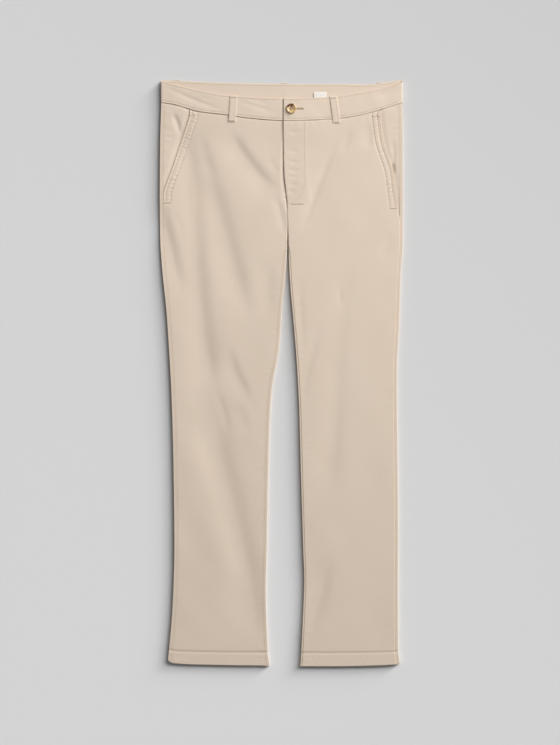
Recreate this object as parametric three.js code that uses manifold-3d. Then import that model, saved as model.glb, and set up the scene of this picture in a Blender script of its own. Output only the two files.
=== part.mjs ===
// Chino trousers laid flat on their back, front side up.
// Millimetres, +Y to the waist, +Z up, the surface they lie on at z = 0.
// "Right" and "left" are the wearer's: the right leg lies at negative X.
import * as THREE from "three";
import { mergeVertices } from "three/addons/utils/BufferGeometryUtils.js";
import Module from "manifold-3d";

const wasm = await Module();
wasm.setup();

// Cloth thicknesses and the gap kept at each seam
const CLOTH = 1.3;
const FACING_CLOTH = 1.0;
const BAND_CLOTH = 2.0;
const HEM_CLOTH = 2.5;
const SEAM_GAP = 0.3;

// Heights of the folded stack: legs, then waistband, then the closed fly
const STACK = 6.0;
const BAND_BOTTOM = 1.6;
const BAND_TOP = 7.0;
const PANEL_TOP_AT_BAND = BAND_TOP - (BAND_CLOTH - CLOTH) / 2;
const PANEL_BOTTOM_AT_BAND = BAND_BOTTOM + (BAND_CLOTH - CLOTH) / 2;
const WAIST_RAMP = 60;

// Places along the length
const WAIST_Y = 494.5;
const CROTCH_Y = 268.5;
const HEM_Y = -531;
const HEM_HEIGHT = 23;
const CROTCH_RISE = 20;
const INSEAM_TURN = 60;

// Seams that show on the front, inside the folded edges
const OUTSEAM_INSET = 7;

// Fly: the left front laps over the right, with the zip between them
const FLY_END_Y = 305;
const FLY_STEP = 14;
const FLY_RISE = 1.0;
const FLY_RISE_AT_BAND = 1.6;
const FLY_FLAT = 20;
const FLY_FADE = 50;
const ZIP_TAPE = 0.8;
const FLY_GAP = ZIP_TAPE + 2 * SEAM_GAP;
const UNDERLAP = 32;
const BAND_UNDERLAP_DROP = 1.1;

const clamp01 = (t) => Math.min(1, Math.max(0, t));
const smooth = (t) => clamp01(t) ** 2 * (3 - 2 * clamp01(t));
const mix = (a, b, t) => a + (b - a) * t;

/** Evenly spaced values from one end to just before the other. */
const spread = (from, to, count) => Array.from({ length: count }, (_, i) => mix(from, to, i / count));

/** Smooth curve through a short table of [place, value] pairs in rising order. */
function through(table) {
  const slope = (i) => {
    const before = table[Math.max(0, i - 1)];
    const after = table[Math.min(table.length - 1, i + 1)];
    return (after[1] - before[1]) / (after[0] - before[0]);
  };
  return (place) => {
    const next = table.findIndex((pair) => pair[0] > place);
    if (next === 0) return table[0][1];
    if (next < 0) return table[table.length - 1][1];
    const i = next - 1;
    const span = table[next][0] - table[i][0];
    const t = (place - table[i][0]) / span;
    const start = (1 + 2 * t) * (1 - t) ** 2 * table[i][1] + t * (1 - t) ** 2 * span * slope(i);
    return start + t * t * (3 - 2 * t) * table[next][1] + t * t * (t - 1) * span * slope(next);
  };
}

// Centre front and centre back lie on one line: [y, x]
const centreLine = through([[CROTCH_Y, 11.5], [308, 11], [332, 9], [377, 5.1], [461, 3.7]]);

// Waist curves across the garment: [x, y]
const frontSeam = through([
  [-217, 494.5], [-195, 491], [-167, 482.6], [-149, 478], [-103, 472.6], [-60, 466.5],
  [10, 461.6], [98, 465.3], [144, 471.7], [180, 481.7], [202, 488.2], [220, 494.5],
]);
const frontTop = through([
  [-215, 533], [-195, 527.5], [-149, 516.5], [-103, 508.3], [10, 501.9], [92, 505.5],
  [144, 512.9], [189, 522], [219, 532],
]);
const backTop = through([[-213, 535.7], [-94, 531.2], [10, 529.3], [107, 529.3], [162, 528.6], [219, 536.6]]);
const BACK_SEAM_Y = 492.5;

// Leg outlines [y, x], pocket openings [y, x], hem slopes [x, rise] and inseam insets
const LEGS = {
  right: {
    side: -1,
    outer: through([
      [HEM_Y, -208], [-433, -200], [-340, -196.5], [-230, -197], [-120, -199], [-31, -202],
      [43, -206], [116, -211], [189, -218.5], [253, -222.4], [418, -222.4], [495, -220], [533, -218.7],
    ]),
    inner: through([
      [HEM_Y, -21.5], [-506, -24.7], [-397, -28.4], [-323, -26.5], [-140, -22.9], [-31, -17.4],
      [43, -4.6], [116, 0.9], [189, 8.2], [245, 9.9], [CROTCH_Y, 11.35],
    ]),
    pocket: through([[306, -215.9], [331, -215.5], [382, -198], [483, -168]]),
    hem: through([[-208, 6], [-194, 0.5], [-110, -2.5], [-24, -3.5]]),
    inseamInset: 8,
  },
  left: {
    side: 1,
    outer: through([
      [HEM_Y, 217], [-506, 213.6], [-232, 213.2], [6, 211.4], [79, 215], [189, 218.7],
      [235, 222.3], [418, 222.3], [495, 221], [533, 220.5],
    ]),
    inner: through([
      [HEM_Y, 34], [-506, 35.7], [-433, 39.3], [-378, 41.2], [-323, 39.3], [-140, 33.9],
      [-67, 32], [6, 28.4], [79, 22.9], [152, 16.4], [189, 13.2], [245, 12.9], [CROTCH_Y, 11.65],
    ]),
    pocket: through([[296, 212.6], [330, 208], [373, 202.4], [427, 186.7], [484, 179]]),
    hem: through([[36, -4.5], [127, -4.2], [205, -1.5], [216, 1]]),
    inseamInset: 6,
  },
};

// Creases pressed or dragged into the front: height of the cloth over the flat, width, and path [x, y]
const FOLDS = [
  { height: -1.5, width: 13, path: [[-173, 407], [-153, 235], [-140, 134], [-124, 33], [-102, -122]] },
  { height: -1.3, width: 20, path: [[-142, 436], [-124, 363], [-94, 282], [-76, 205], [-65, 143]] },
  { height: -1.9, width: 13, path: [[-98, 447], [-65, 399], [-36, 370], [-8, 342]] },
  { height: -1.0, width: 9, path: [[-19, 202], [-19, 114]] },
  { height: -1.6, width: 11, path: [[-87, 33], [-69, -3], [-59, -42]] },
  { height: -1.2, width: 14, path: [[-83, -67], [-69, -122]] },
  { height: 0.6, width: 18, path: [[-186, 24], [-156, -115], [-124, -214], [-94, -342], [-72, -419]] },
  { height: -1.2, width: 14, path: [[-61, -250], [-43, -397], [-40, -470]] },
  { height: -1.3, width: 12, path: [[-213, 264], [-195, 224], [-178, 169], [-167, 88]] },
  { height: -1.7, width: 15, path: [[118, 436], [89, 392], [70, 337], [52, 290], [36, 258]] },
  { height: -0.9, width: 12, path: [[166, 462], [162, 407]] },
  { height: -1.0, width: 12, path: [[208, 258], [188, 205]] },
  { height: -1.5, width: 12, path: [[78, 99], [59, 13], [50, -23]] },
  { height: -1.3, width: 13, path: [[111, -67], [100, -140], [85, -232]] },
  { height: -1.2, width: 12, path: [[70, -42], [52, -100]] },
  { height: -1.8, width: 13, path: [[89, -353], [70, -408], [54, -455]] },
];
const LOWEST_RELIEF = -2.0;
const LOWEST_RELIEF_AT_POCKET = -1.5;
const FOLD_TAPER = 0.3;

/** Height that one crease gives the cloth at a place. */
function foldHeight(fold, x, y) {
  let nearest = { gap: Infinity, share: 0 };
  const spans = fold.path.length - 1;
  for (let i = 0; i < spans; i += 1) {
    const [ax, ay] = fold.path[i];
    const [bx, by] = fold.path[i + 1];
    const length2 = (bx - ax) ** 2 + (by - ay) ** 2;
    const t = clamp01(((x - ax) * (bx - ax) + (y - ay) * (by - ay)) / length2);
    const gap = Math.hypot(x - mix(ax, bx, t), y - mix(ay, by, t));
    if (gap < nearest.gap) nearest = { gap, share: (i + t) / spans };
  }
  const taper = smooth(Math.min(nearest.share, 1 - nearest.share) / FOLD_TAPER + 0.2);
  return fold.height * taper * Math.exp(-((nearest.gap / fold.width) ** 2));
}

/** All creases together, kept shallow over the fly, the pockets, the hem and the waist seam. */
function relief(x, y) {
  const sum = FOLDS.reduce((total, fold) => total + foldHeight(fold, x, y), 0);
  const overFly = smooth((y - FLY_END_Y) / 25) * (1 - smooth((Math.abs(x - centreLine(y) - 10) - 24) / 16));
  const nearHem = smooth((y - HEM_Y - HEM_HEIGHT) / 40);
  const nearWaist = smooth((frontSeam(x) - y) / 20);
  const lowest = y > LEGS.left.pocket(0) && Math.abs(x) > 150 ? LOWEST_RELIEF_AT_POCKET : LOWEST_RELIEF;
  return Math.max(sum, lowest) * (1 - 0.7 * overFly) * nearHem * nearWaist;
}

/** Share of the fly's lift at a place: all of it over the underlap, none past the fade. */
const closure = (x, y) => 1 - smooth((x - centreLine(y) - FLY_FLAT) / FLY_FADE);

/** How far the lapped left front rises over the closed fly. */
function flyLift(x, y) {
  const nearWaist = 1 - smooth((WAIST_Y - y) / WAIST_RAMP);
  return closure(x, y) * mix(FLY_RISE, FLY_RISE_AT_BAND, nearWaist) * smooth((y - FLY_END_Y) / 25);
}

/** Change of a front panel's height at the fly: the left one rises, the right one steps down under it. */
function flyShift(leg, x, y) {
  if (leg.side > 0) return flyLift(x, y);
  const step = smooth((x - centreLine(y) + FLY_STEP) / FLY_STEP);
  const under = (CLOTH + FLY_GAP) * smooth((y - FLY_END_Y + 10) / 10);
  return step * (flyLift(Math.max(x, centreLine(y)), y) - under);
}

/** Shape of one leg's cross-section at a height y: its edges, its stack and how far its inner edge is rolled. */
function rowAt(leg, y) {
  const above = y >= CROTCH_Y;
  const nearWaist = 1 - smooth((WAIST_Y - y) / WAIST_RAMP);
  const top = mix(STACK, PANEL_TOP_AT_BAND, nearWaist);
  const bottom = PANEL_BOTTOM_AT_BAND * nearWaist;
  const radius = (top - bottom) / 2;
  const turn = (Math.PI / 2) * (above ? 1 - smooth((y - CROTCH_Y) / CROTCH_RISE) : 1);
  const inner = above ? centreLine(y) + (leg.side * SEAM_GAP) / 2 : leg.inner(y);
  const width = Math.abs(leg.outer(y) - inner);
  const inseamPlace = mix(-turn * radius, leg.inseamInset - radius, smooth((CROTCH_Y - y) / INSEAM_TURN));
  return { leg, y, above, top, bottom, radius, turn, inner, width, inseamPlace, rollDepth: radius * Math.sin(turn) };
}

/** Point of a section: across and z on the outer face, with its outward direction and its share of "front". */
const onTop = (row, across) => ({ across, z: row.top, out: [0, 1], front: 1 });
const onBottom = (row, across) => ({ across, z: row.bottom, out: [0, -1], front: 0 });

/** Point on the rolled inner edge, at an angle from the top tangent. */
function onInnerRoll(row, angle) {
  const rise = angle <= Math.PI / 2 ? row.top - row.radius * (1 - Math.cos(angle)) : null;
  const z = rise ?? row.bottom + row.radius * (1 + Math.cos(angle));
  const across = row.rollDepth - row.radius * Math.sin(angle);
  return { across, z, out: [-Math.sin(angle), Math.cos(angle)], front: (1 + Math.cos(angle)) / 2 };
}

/** Point on the rolled outer edge, at an angle from the top tangent. */
function onOuterRoll(row, angle) {
  const across = row.width - row.radius * (1 - Math.sin(angle));
  const z = row.bottom + row.radius * (1 + Math.cos(angle));
  return { across, z, out: [Math.sin(angle), Math.cos(angle)], front: (1 + Math.cos(angle)) / 2 };
}

/** Front of the section at an arc place counted from the inner tangent, negative on the roll. */
function frontPoint(row, place) {
  if (place >= 0) return onTop(row, row.rollDepth + place);
  if (row.turn === 0) return onTop(row, place);
  return onInnerRoll(row, -place / row.radius);
}

/** Back of the section at an arc place counted from the inner bottom tangent, negative on the flat. */
function backPoint(row, place) {
  if (place <= 0) return onBottom(row, row.rollDepth - place);
  const roll = Math.PI * row.radius;
  if (place <= roll) return onInnerRoll(row, Math.PI - place / row.radius);
  return onTop(row, row.rollDepth + place - roll);
}

/** Shift of a place along the garment, so that rows end on the curved waist seam and the sloped hem. */
function alongShift(leg, x, y, front) {
  const toWaist = mix(BACK_SEAM_Y, frontSeam(x), front) - WAIST_Y - SEAM_GAP / 2;
  return toWaist * smooth((y - 294) / (WAIST_Y - 294)) + leg.hem(x) * smooth((HEM_Y + 60 - y) / 60);
}

/** Outer and inner place of the cloth for one point of a section. */
function clothAt(row, point, thickness, shift = () => 0) {
  const { leg, y } = row;
  const place = (depth) => {
    const x = row.inner + leg.side * (point.across - point.out[0] * depth);
    const outerX = row.inner + leg.side * point.across;
    const along = y + alongShift(leg, outerX, y, point.front);
    const lift = point.front * (relief(outerX, along) + shift(outerX, y));
    return [x, along, point.z - point.out[1] * depth + lift];
  };
  return { outer: place(0), inner: place(thickness) };
}

/** Closed solid from a grid of cloth points, wound so that its faces point out. */
function sheet(rows) {
  const columns = rows[0].length;
  const layer = rows.length * columns;
  const positions = ["outer", "inner"].flatMap((face) => rows.flat().flatMap((point) => point[face]));
  const at = (r, c) => r * columns + c;
  const index = [];
  const quad = (a, b, c, d) => index.push(a, b, c, a, c, d);
  const rim = (a, b) => quad(b, a, layer + a, layer + b);
  for (let r = 0; r < rows.length - 1; r += 1) {
    for (let c = 0; c < columns - 1; c += 1) {
      quad(at(r, c), at(r, c + 1), at(r + 1, c + 1), at(r + 1, c));
      quad(layer + at(r, c), layer + at(r + 1, c), layer + at(r + 1, c + 1), layer + at(r, c + 1));
    }
    rim(at(r + 1, 0), at(r, 0));
    rim(at(r, columns - 1), at(r + 1, columns - 1));
  }
  for (let c = 0; c < columns - 1; c += 1) {
    rim(at(0, c), at(0, c + 1));
    rim(at(rows.length - 1, c + 1), at(rows.length - 1, c));
  }
  const geometry = new THREE.BufferGeometry();
  geometry.setAttribute("position", new THREE.Float32BufferAttribute(positions, 3));
  geometry.setIndex(signedVolume(positions, index) > 0 ? index : index.reverse());
  return geometry;
}

/** Six times the volume inside a closed triangle mesh, negative when its faces point in. */
function signedVolume(positions, index) {
  const corner = (i) => new THREE.Vector3().fromArray(positions, index[i] * 3);
  let sum = 0;
  for (let i = 0; i < index.length; i += 3) sum += corner(i).dot(corner(i + 1).cross(corner(i + 2)));
  return sum;
}

// Levels along the legs, closer together at the hem, round the crotch and over the fly
const LEVELS = [
  HEM_Y,
  HEM_Y + HEM_HEIGHT,
  ...spread(HEM_Y + HEM_HEIGHT + 2, 210, 19),
  ...spread(210, CROTCH_Y, 6),
  ...spread(CROTCH_Y, CROTCH_Y + CROTCH_RISE, 3),
  ...spread(CROTCH_Y + CROTCH_RISE, FLY_END_Y, 2),
  ...spread(FLY_END_Y, 330, 3),
  ...spread(330, WAIST_Y, 9),
  WAIST_Y,
];
const clothAtLevel = (y) => (y <= HEM_Y + HEM_HEIGHT ? HEM_CLOTH : CLOTH);

// Columns across the pieces: shares of the strip beside the centre, then even steps
const CENTRE_STRIP = 14;
const CENTRE_SHARES = [0, 0.12, 0.25, 0.4, 0.65];
const FRONT_COLUMNS = 11;
const ROLL_STEPS = 5;
const BACK_COLUMNS = 2;

/** Length of cloth rolled down, or up, to the centre seam above the crotch. */
const centreTurn = (row) => Math.max(0, row.turn * row.radius - SEAM_GAP / 2);

/** Arc place where a front panel starts: at its inseam, its centre seam or the end of its underlap. */
function frontStart(row) {
  if (!row.above) return row.inseamPlace + SEAM_GAP / 2;
  const underlap = row.leg.side < 0 ? UNDERLAP * smooth((row.y - FLY_END_Y - 1) / 24) : 0;
  return underlap > 0 ? -underlap : -centreTurn(row);
}

/** Distance across a leg from its inner edge to the outer end of the front panel. */
function frontEnd(row) {
  const seam = row.width - OUTSEAM_INSET - SEAM_GAP / 2;
  const toPocket = Math.abs(row.leg.pocket(row.y) - row.inner);
  return row.y > FLY_END_Y - 10 ? Math.min(seam, toPocket) : seam;
}

/** Front leg panel, from the waist seam to the hem and from the fly or inseam to the outseam or pocket. */
function frontPanel(leg) {
  return sheet(LEVELS.map((y) => {
    const row = rowAt(leg, y);
    const start = frontStart(row);
    const end = frontEnd(row) - row.rollDepth;
    const places = [
      ...CENTRE_SHARES.map((share) => mix(start, CENTRE_STRIP, share)),
      ...spread(CENTRE_STRIP, end, FRONT_COLUMNS),
      end,
    ];
    const shift = (x, along) => flyShift(leg, x, along);
    return places.map((place) => clothAt(row, frontPoint(row, place), clothAtLevel(y), shift));
  }));
}

/** Back leg panel, rolled round both edges of the leg up to the seams on the front face. */
function backPanel(leg) {
  return sheet(LEVELS.map((y) => {
    const row = rowAt(leg, y);
    const { radius, width } = row;
    const lip = onTop(row, width - OUTSEAM_INSET + SEAM_GAP / 2);
    const outerRoll = [...spread(0, Math.PI, ROLL_STEPS), Math.PI].map((angle) => onOuterRoll(row, angle));
    const strip = -CENTRE_STRIP;
    const flat = spread(row.rollDepth - width + radius, strip, BACK_COLUMNS).slice(1);
    const full = Math.PI * radius + leg.inseamInset - radius;
    const end = row.above ? centreTurn(row) : Math.PI * radius + row.inseamPlace - SEAM_GAP / 2;
    const whole = [strip, 0, ...spread(0, Math.PI * radius, ROLL_STEPS).slice(1), Math.PI * radius, full];
    const rolled = whole.map((place) => mix(strip, end, (place - strip) / (full - strip)));
    const inner = [...flat, ...rolled].map((place) => backPoint(row, place));
    return [lip, ...outerRoll, ...inner].map((point) => clothAt(row, point, clothAtLevel(y)));
  }));
}

// Pocket facing: shows between the slanted opening and the outseam, and runs on under the front panel
const FACING_UNDER = 20;
const FACING_RISE = 10;
const FACING_CLEAR = 1;
const FACING_BELOW = 14;
const FACING_ROWS = 11;
const FACING_COLUMNS = 4;

/** Facing behind one slanted pocket opening. */
function pocketFacing(leg) {
  const foot = leg.side < 0 ? 306 - FACING_BELOW : 296 - FACING_BELOW;
  const head = WAIST_Y - FACING_CLEAR;
  return sheet([...spread(foot, head, FACING_ROWS), head].map((y) => {
    const row = rowAt(leg, y);
    const opening = Math.min(Math.abs(leg.pocket(y) - row.inner), row.width - OUTSEAM_INSET);
    const to = row.width - OUTSEAM_INSET - SEAM_GAP / 2;
    const mouth = Math.min(opening + FACING_CLEAR, to - FACING_CLEAR);
    const places = [...spread(opening - FACING_UNDER, mouth, 2), ...spread(mouth, to, FACING_COLUMNS), to];
    return places.map((across) => {
      const rise = y > foot + FACING_BELOW ? smooth((across - opening - FACING_CLEAR) / FACING_RISE) : 0;
      const sink = () => -(CLOTH + SEAM_GAP) * (1 - rise);
      return clothAt(row, onTop(row, across), FACING_CLOTH, sink);
    });
  }));
}

// Waistband halves
const BAND_ROWS = [0, 0.5, 1];
const BAND_FRONT_COLUMNS = 18;
const BAND_BACK_COLUMNS = 8;
const BAND_SIDE_INSET = 0.35;
const BAND_UNDERLAP = 34;
const CENTRE_X = centreLine(WAIST_Y);

/** Top of the waistband's front, raised where it laps over and lowered where it lies under. */
function bandTop(side, x) {
  if (side > 0) return BAND_TOP + FLY_RISE_AT_BAND * closure(x, WAIST_Y);
  return BAND_TOP - BAND_UNDERLAP_DROP * smooth((x - CENTRE_X + FLY_STEP) / FLY_STEP);
}

/** One half of the waistband, from its front end round the side to the centre back. */
function waistband(leg) {
  const { side } = leg;
  const radius = (BAND_TOP - BAND_BOTTOM) / 2;
  const edge = leg.outer(WAIST_Y) + side * BAND_SIDE_INSET;
  const turnX = edge - side * radius;
  const start = side > 0 ? CENTRE_X : CENTRE_X + BAND_UNDERLAP;
  const end = CENTRE_X + (side * SEAM_GAP) / 2;
  const front = spread(start, turnX, BAND_FRONT_COLUMNS).map((x) => ({ x, z: bandTop(side, x), out: [0, 1], front: 1 }));
  const roll = [...spread(0, Math.PI, ROLL_STEPS), Math.PI].map((angle) => ({
    x: turnX + side * radius * Math.sin(angle),
    z: BAND_BOTTOM + radius * (1 + Math.cos(angle)),
    out: [Math.sin(angle), Math.cos(angle)],
    front: (1 + Math.cos(angle)) / 2,
  }));
  const back = [...spread(turnX, end, BAND_BACK_COLUMNS).slice(1), end].map((x) => ({
    x, z: BAND_BOTTOM, out: [0, -1], front: 0,
  }));
  return sheet(BAND_ROWS.map((share) => [...front, ...roll, ...back].map((point) => {
    const low = mix(BACK_SEAM_Y, frontSeam(point.x), point.front) + SEAM_GAP / 2;
    const high = mix(backTop(point.x), frontTop(point.x), point.front);
    const y = mix(low, high, share);
    const place = (depth) => [point.x - side * point.out[0] * depth, y, point.z - point.out[1] * depth];
    return { outer: place(0), inner: place(BAND_CLOTH) };
  })));
}

/** A closed geometry as a manifold solid. */
function solidOf(geometry) {
  const bare = geometry.clone();
  bare.deleteAttribute("normal");
  bare.deleteAttribute("uv");
  const merged = mergeVertices(bare, 1e-4);
  const mesh = new wasm.Mesh({
    numProp: 3,
    vertProperties: Float32Array.from(merged.attributes.position.array),
    triVerts: Uint32Array.from(merged.index.array),
  });
  return new wasm.Manifold(mesh);
}

/** A manifold solid as a geometry. */
function geometryOf(solid) {
  const mesh = solid.getMesh();
  const geometry = new THREE.BufferGeometry();
  geometry.setAttribute("position", new THREE.Float32BufferAttribute(mesh.vertProperties, 3));
  geometry.setIndex(Array.from(mesh.triVerts));
  return geometry;
}

/** What is left of a geometry after others are cut from it. */
function cut(geometry, tools) {
  const left = tools.reduce((solid, tool) => solid.subtract(solidOf(tool)), solidOf(geometry));
  return geometryOf(left);
}

// Button, its thread shank and the buttonhole in the lapped left end
const BUTTON = { x: 18, y: 483.4, radius: 9, height: 2.6, rim: 1.8, dish: 0.9, hole: 0.9, holeRing: 2.1 };
const BUTTONHOLE = { from: 16, to: 40.6, width: 3.6 };
const SHANK_RADIUS = 1.2;
const LAP_TOP = BAND_TOP + FLY_RISE_AT_BAND;
const UNDERLAP_TOP = BAND_TOP - BAND_UNDERLAP_DROP;

/** Long hole with round ends that goes right through the lapped band. */
function buttonholeCutter() {
  const half = BUTTONHOLE.width / 2;
  const shape = new THREE.Shape();
  shape.absarc(BUTTONHOLE.from + half, 0, half, Math.PI / 2, (Math.PI * 3) / 2);
  shape.absarc(BUTTONHOLE.to - half, 0, half, -Math.PI / 2, Math.PI / 2);
  const cutter = new THREE.ExtrudeGeometry(shape, { depth: 20, bevelEnabled: false, curveSegments: 6 });
  cutter.translate(0, BUTTON.y, 0);
  return cutter;
}

/** Four-hole button with a raised rim round a dished face. */
function buttonGeometry() {
  const { radius, height, rim, dish } = BUTTON;
  const profile = [
    [0, 0], [radius * 0.7, 0], [radius, height * 0.45], [radius - rim * 0.3, height],
    [radius - rim, height], [radius - rim * 1.6, height - dish], [0, height - dish],
  ].map(([r, z]) => new THREE.Vector2(r, z));
  const disc = new THREE.LatheGeometry(profile, 28);
  disc.rotateX(Math.PI / 2);
  const holes = [45, 135, 225, 315].map((degrees) => {
    const angle = THREE.MathUtils.degToRad(degrees);
    const hole = new THREE.CylinderGeometry(BUTTON.hole, BUTTON.hole, 4 * height, 8);
    hole.rotateX(Math.PI / 2);
    hole.translate(BUTTON.holeRing * Math.cos(angle), BUTTON.holeRing * Math.sin(angle), 0);
    return hole;
  });
  return cut(disc, holes);
}

/** Thread wound between the underlap and the button, through the buttonhole. */
function shankGeometry() {
  const height = LAP_TOP - UNDERLAP_TOP - SEAM_GAP;
  const shank = new THREE.CylinderGeometry(SHANK_RADIUS, SHANK_RADIUS, height, 12);
  shank.rotateX(Math.PI / 2);
  return shank;
}

// Zip under the fly, closed: one flat strip of tape and coil
const ZIP = { from: 4, to: 29, foot: 322, belowBand: 5, rows: 10, columns: 2 };

/** Zip strip between the lapped left front and the underlap. */
function zipGeometry() {
  const { left } = LEGS;
  return sheet([...spread(ZIP.foot, WAIST_Y - ZIP.belowBand, ZIP.rows), WAIST_Y - ZIP.belowBand].map((y) => {
    const row = rowAt(left, y);
    const shift = (x, along) => flyShift(left, x, along) - CLOTH - SEAM_GAP;
    return [...spread(ZIP.from, ZIP.to, ZIP.columns), ZIP.to].map((across) =>
      clothAt(row, onTop(row, across), ZIP_TAPE, shift));
  }));
}

// Belt loops: two in front, three behind
const LOOP = { width: 13, cloth: 1.3, bow: 1.2, belowSeam: 7, overEdge: 1.5, rows: 8 };
const FRONT_LOOPS = [
  { name: "belt_loop_front_right", leg: LEGS.right, top: -87.2, bottom: -90.6, belowSeam: 11 },
  { name: "belt_loop_front_left", leg: LEGS.left, top: 94.4, bottom: 101, belowSeam: 8.5 },
];
const BACK_LOOPS = [
  { name: "belt_loop_back_right", x: -191.2 },
  { name: "belt_loop_back_centre", x: 4.2 },
  { name: "belt_loop_back_left", x: 181.9 },
];

/** Front loop: a strip from the band's upper edge to just below the waist seam, bowed off the band. */
function frontLoop({ leg, top, bottom, belowSeam }) {
  const middle = (top + bottom) / 2;
  const high = frontTop(middle);
  const low = frontSeam(middle) - belowSeam;
  return sheet(spread(0, 1, LOOP.rows).concat(1).map((share) => {
    const x = mix(bottom, top, share);
    const y = mix(low, high, share);
    const base = bandTop(leg.side, x) + SEAM_GAP + LOOP.bow * Math.sin(Math.PI * share);
    return [-0.5, 0.5].map((half) => {
      const place = (z) => [x + half * LOOP.width, y, z];
      return { outer: place(base + LOOP.cloth), inner: place(base) };
    });
  }));
}

/** Back loop: a flat strip between the band and the surface below, with its upper end over the band's edge. */
function backLoop({ x }) {
  const high = backTop(x) + LOOP.overEdge;
  const low = BACK_SEAM_Y - LOOP.belowSeam;
  const strip = new THREE.BoxGeometry(LOOP.width, high - low, LOOP.cloth);
  strip.translate(x, (high + low) / 2, LOOP.cloth / 2);
  return strip;
}

// Small woven tab on the inside of the back waistband, left blank
const TAB = { x: 71, y: 507, width: 23, height: 14, cloth: 0.6 };

/** The tab, flat on the inner face of the back waistband. */
function tabGeometry() {
  const tab = new THREE.BoxGeometry(TAB.width, TAB.height, TAB.cloth);
  tab.translate(TAB.x, TAB.y, BAND_BOTTOM + BAND_CLOTH + SEAM_GAP + TAB.cloth / 2);
  return tab;
}

// Materials
const cotton = () => new THREE.MeshStandardMaterial({ color: 0xd8c6b1, roughness: 0.92, metalness: 0 });
const horn = () => new THREE.MeshStandardMaterial({ color: 0x94683c, roughness: 0.35, metalness: 0 });
const thread = () => new THREE.MeshStandardMaterial({ color: 0xcdb89c, roughness: 0.8, metalness: 0 });
const tape = () => new THREE.MeshStandardMaterial({ color: 0xc9b69d, roughness: 0.8, metalness: 0 });
const satin = () => new THREE.MeshStandardMaterial({ color: 0xf1eee8, roughness: 0.6, metalness: 0 });

const trousers = new THREE.Group();

/** Adds one named piece to the garment. */
function add(name, geometry, material, place = [0, 0, 0]) {
  const mesh = new THREE.Mesh(geometry, material);
  mesh.name = name;
  mesh.position.set(...place);
  trousers.add(mesh);
}

for (const [name, leg] of Object.entries(LEGS)) {
  add(`front_${name}`, frontPanel(leg), cotton());
  add(`back_${name}`, backPanel(leg), cotton());
  add(`pocket_facing_${name}`, pocketFacing(leg), cotton());
}
add("waistband_right", waistband(LEGS.right), cotton());
add("waistband_left", cut(waistband(LEGS.left), [buttonholeCutter()]), cotton());
add("zip", zipGeometry(), tape());
for (const loop of FRONT_LOOPS) add(loop.name, frontLoop(loop), cotton());
for (const loop of BACK_LOOPS) add(loop.name, backLoop(loop), cotton());
add("button", buttonGeometry(), horn(), [BUTTON.x, BUTTON.y, LAP_TOP + SEAM_GAP]);
add("button_shank", shankGeometry(), thread(), [BUTTON.x, BUTTON.y, (LAP_TOP + UNDERLAP_TOP + SEAM_GAP) / 2]);
add("size_tab", tabGeometry(), satin());

export default trousers;
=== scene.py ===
"""Cotton chino trousers laid flat on a pale floor, front side up, seen from straight above."""

import logging
import math
from collections.abc import Callable
from dataclasses import dataclass, field
from enum import Enum

import bmesh
import bpy
import numpy as np
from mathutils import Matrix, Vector
from mathutils.bvhtree import BVHTree


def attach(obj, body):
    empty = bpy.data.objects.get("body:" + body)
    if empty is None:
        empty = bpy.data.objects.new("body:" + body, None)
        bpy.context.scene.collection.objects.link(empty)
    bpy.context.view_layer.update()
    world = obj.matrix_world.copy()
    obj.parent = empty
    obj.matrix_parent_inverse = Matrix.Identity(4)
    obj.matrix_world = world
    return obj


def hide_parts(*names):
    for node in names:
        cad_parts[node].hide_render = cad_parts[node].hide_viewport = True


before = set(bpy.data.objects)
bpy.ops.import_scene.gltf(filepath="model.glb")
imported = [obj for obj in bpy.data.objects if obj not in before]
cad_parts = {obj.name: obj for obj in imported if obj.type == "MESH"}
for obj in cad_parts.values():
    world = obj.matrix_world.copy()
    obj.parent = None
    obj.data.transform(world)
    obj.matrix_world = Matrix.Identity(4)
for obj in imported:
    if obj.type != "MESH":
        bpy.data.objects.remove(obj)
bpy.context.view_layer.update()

LOG = logging.getLogger("trousers")
Array = np.ndarray

# Sizes below are millimetres, as a cutter writes them; meshes are made in metres.
MM = 0.001


def clamp01(t: Array) -> Array:
    """Limit values to the span from 0 to 1."""
    return np.clip(t, 0.0, 1.0)


def smooth(t: Array) -> Array:
    """Ease from 0 to 1 with no corner at either end."""
    c = clamp01(t)
    return c * c * (3 - 2 * c)


def mix(a: Array, b: Array, t: Array) -> Array:
    """Blend two values."""
    return a + (b - a) * t


def bell(distance: Array, width: float) -> Array:
    """Bell curve: 1 in its middle, mostly faded at its width."""
    return np.exp(-((distance / width) ** 2))


class Through:
    """Smooth curve through a short table of (place, value) pairs in rising order."""

    def __init__(self, *pairs: tuple[float, float]) -> None:
        """Keep the table and work out its slopes.

        Args:
            pairs: The table's rows.
        """
        self.place, self.value = np.array(pairs, float).T
        after = np.minimum(np.arange(len(pairs)) + 1, len(pairs) - 1)
        before = np.maximum(np.arange(len(pairs)) - 1, 0)
        self.slope = (self.value[after] - self.value[before]) / (self.place[after] - self.place[before])

    def __call__(self, place: Array) -> Array:
        """Read the curve.

        Args:
            place: Where to read it; past either end it stays level.

        Returns:
            The curve's values there.
        """
        at = np.clip(place, self.place[0], self.place[-1])
        i = np.clip(np.searchsorted(self.place, at, side="right") - 1, 0, len(self.place) - 2)
        span = self.place[i + 1] - self.place[i]
        t = (at - self.place[i]) / span
        start = (1 + 2 * t) * (1 - t) ** 2 * self.value[i] + t * (1 - t) ** 2 * span * self.slope[i]
        end = t * t * (3 - 2 * t) * self.value[i + 1] + t * t * (t - 1) * span * self.slope[i + 1]
        return start + end


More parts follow.
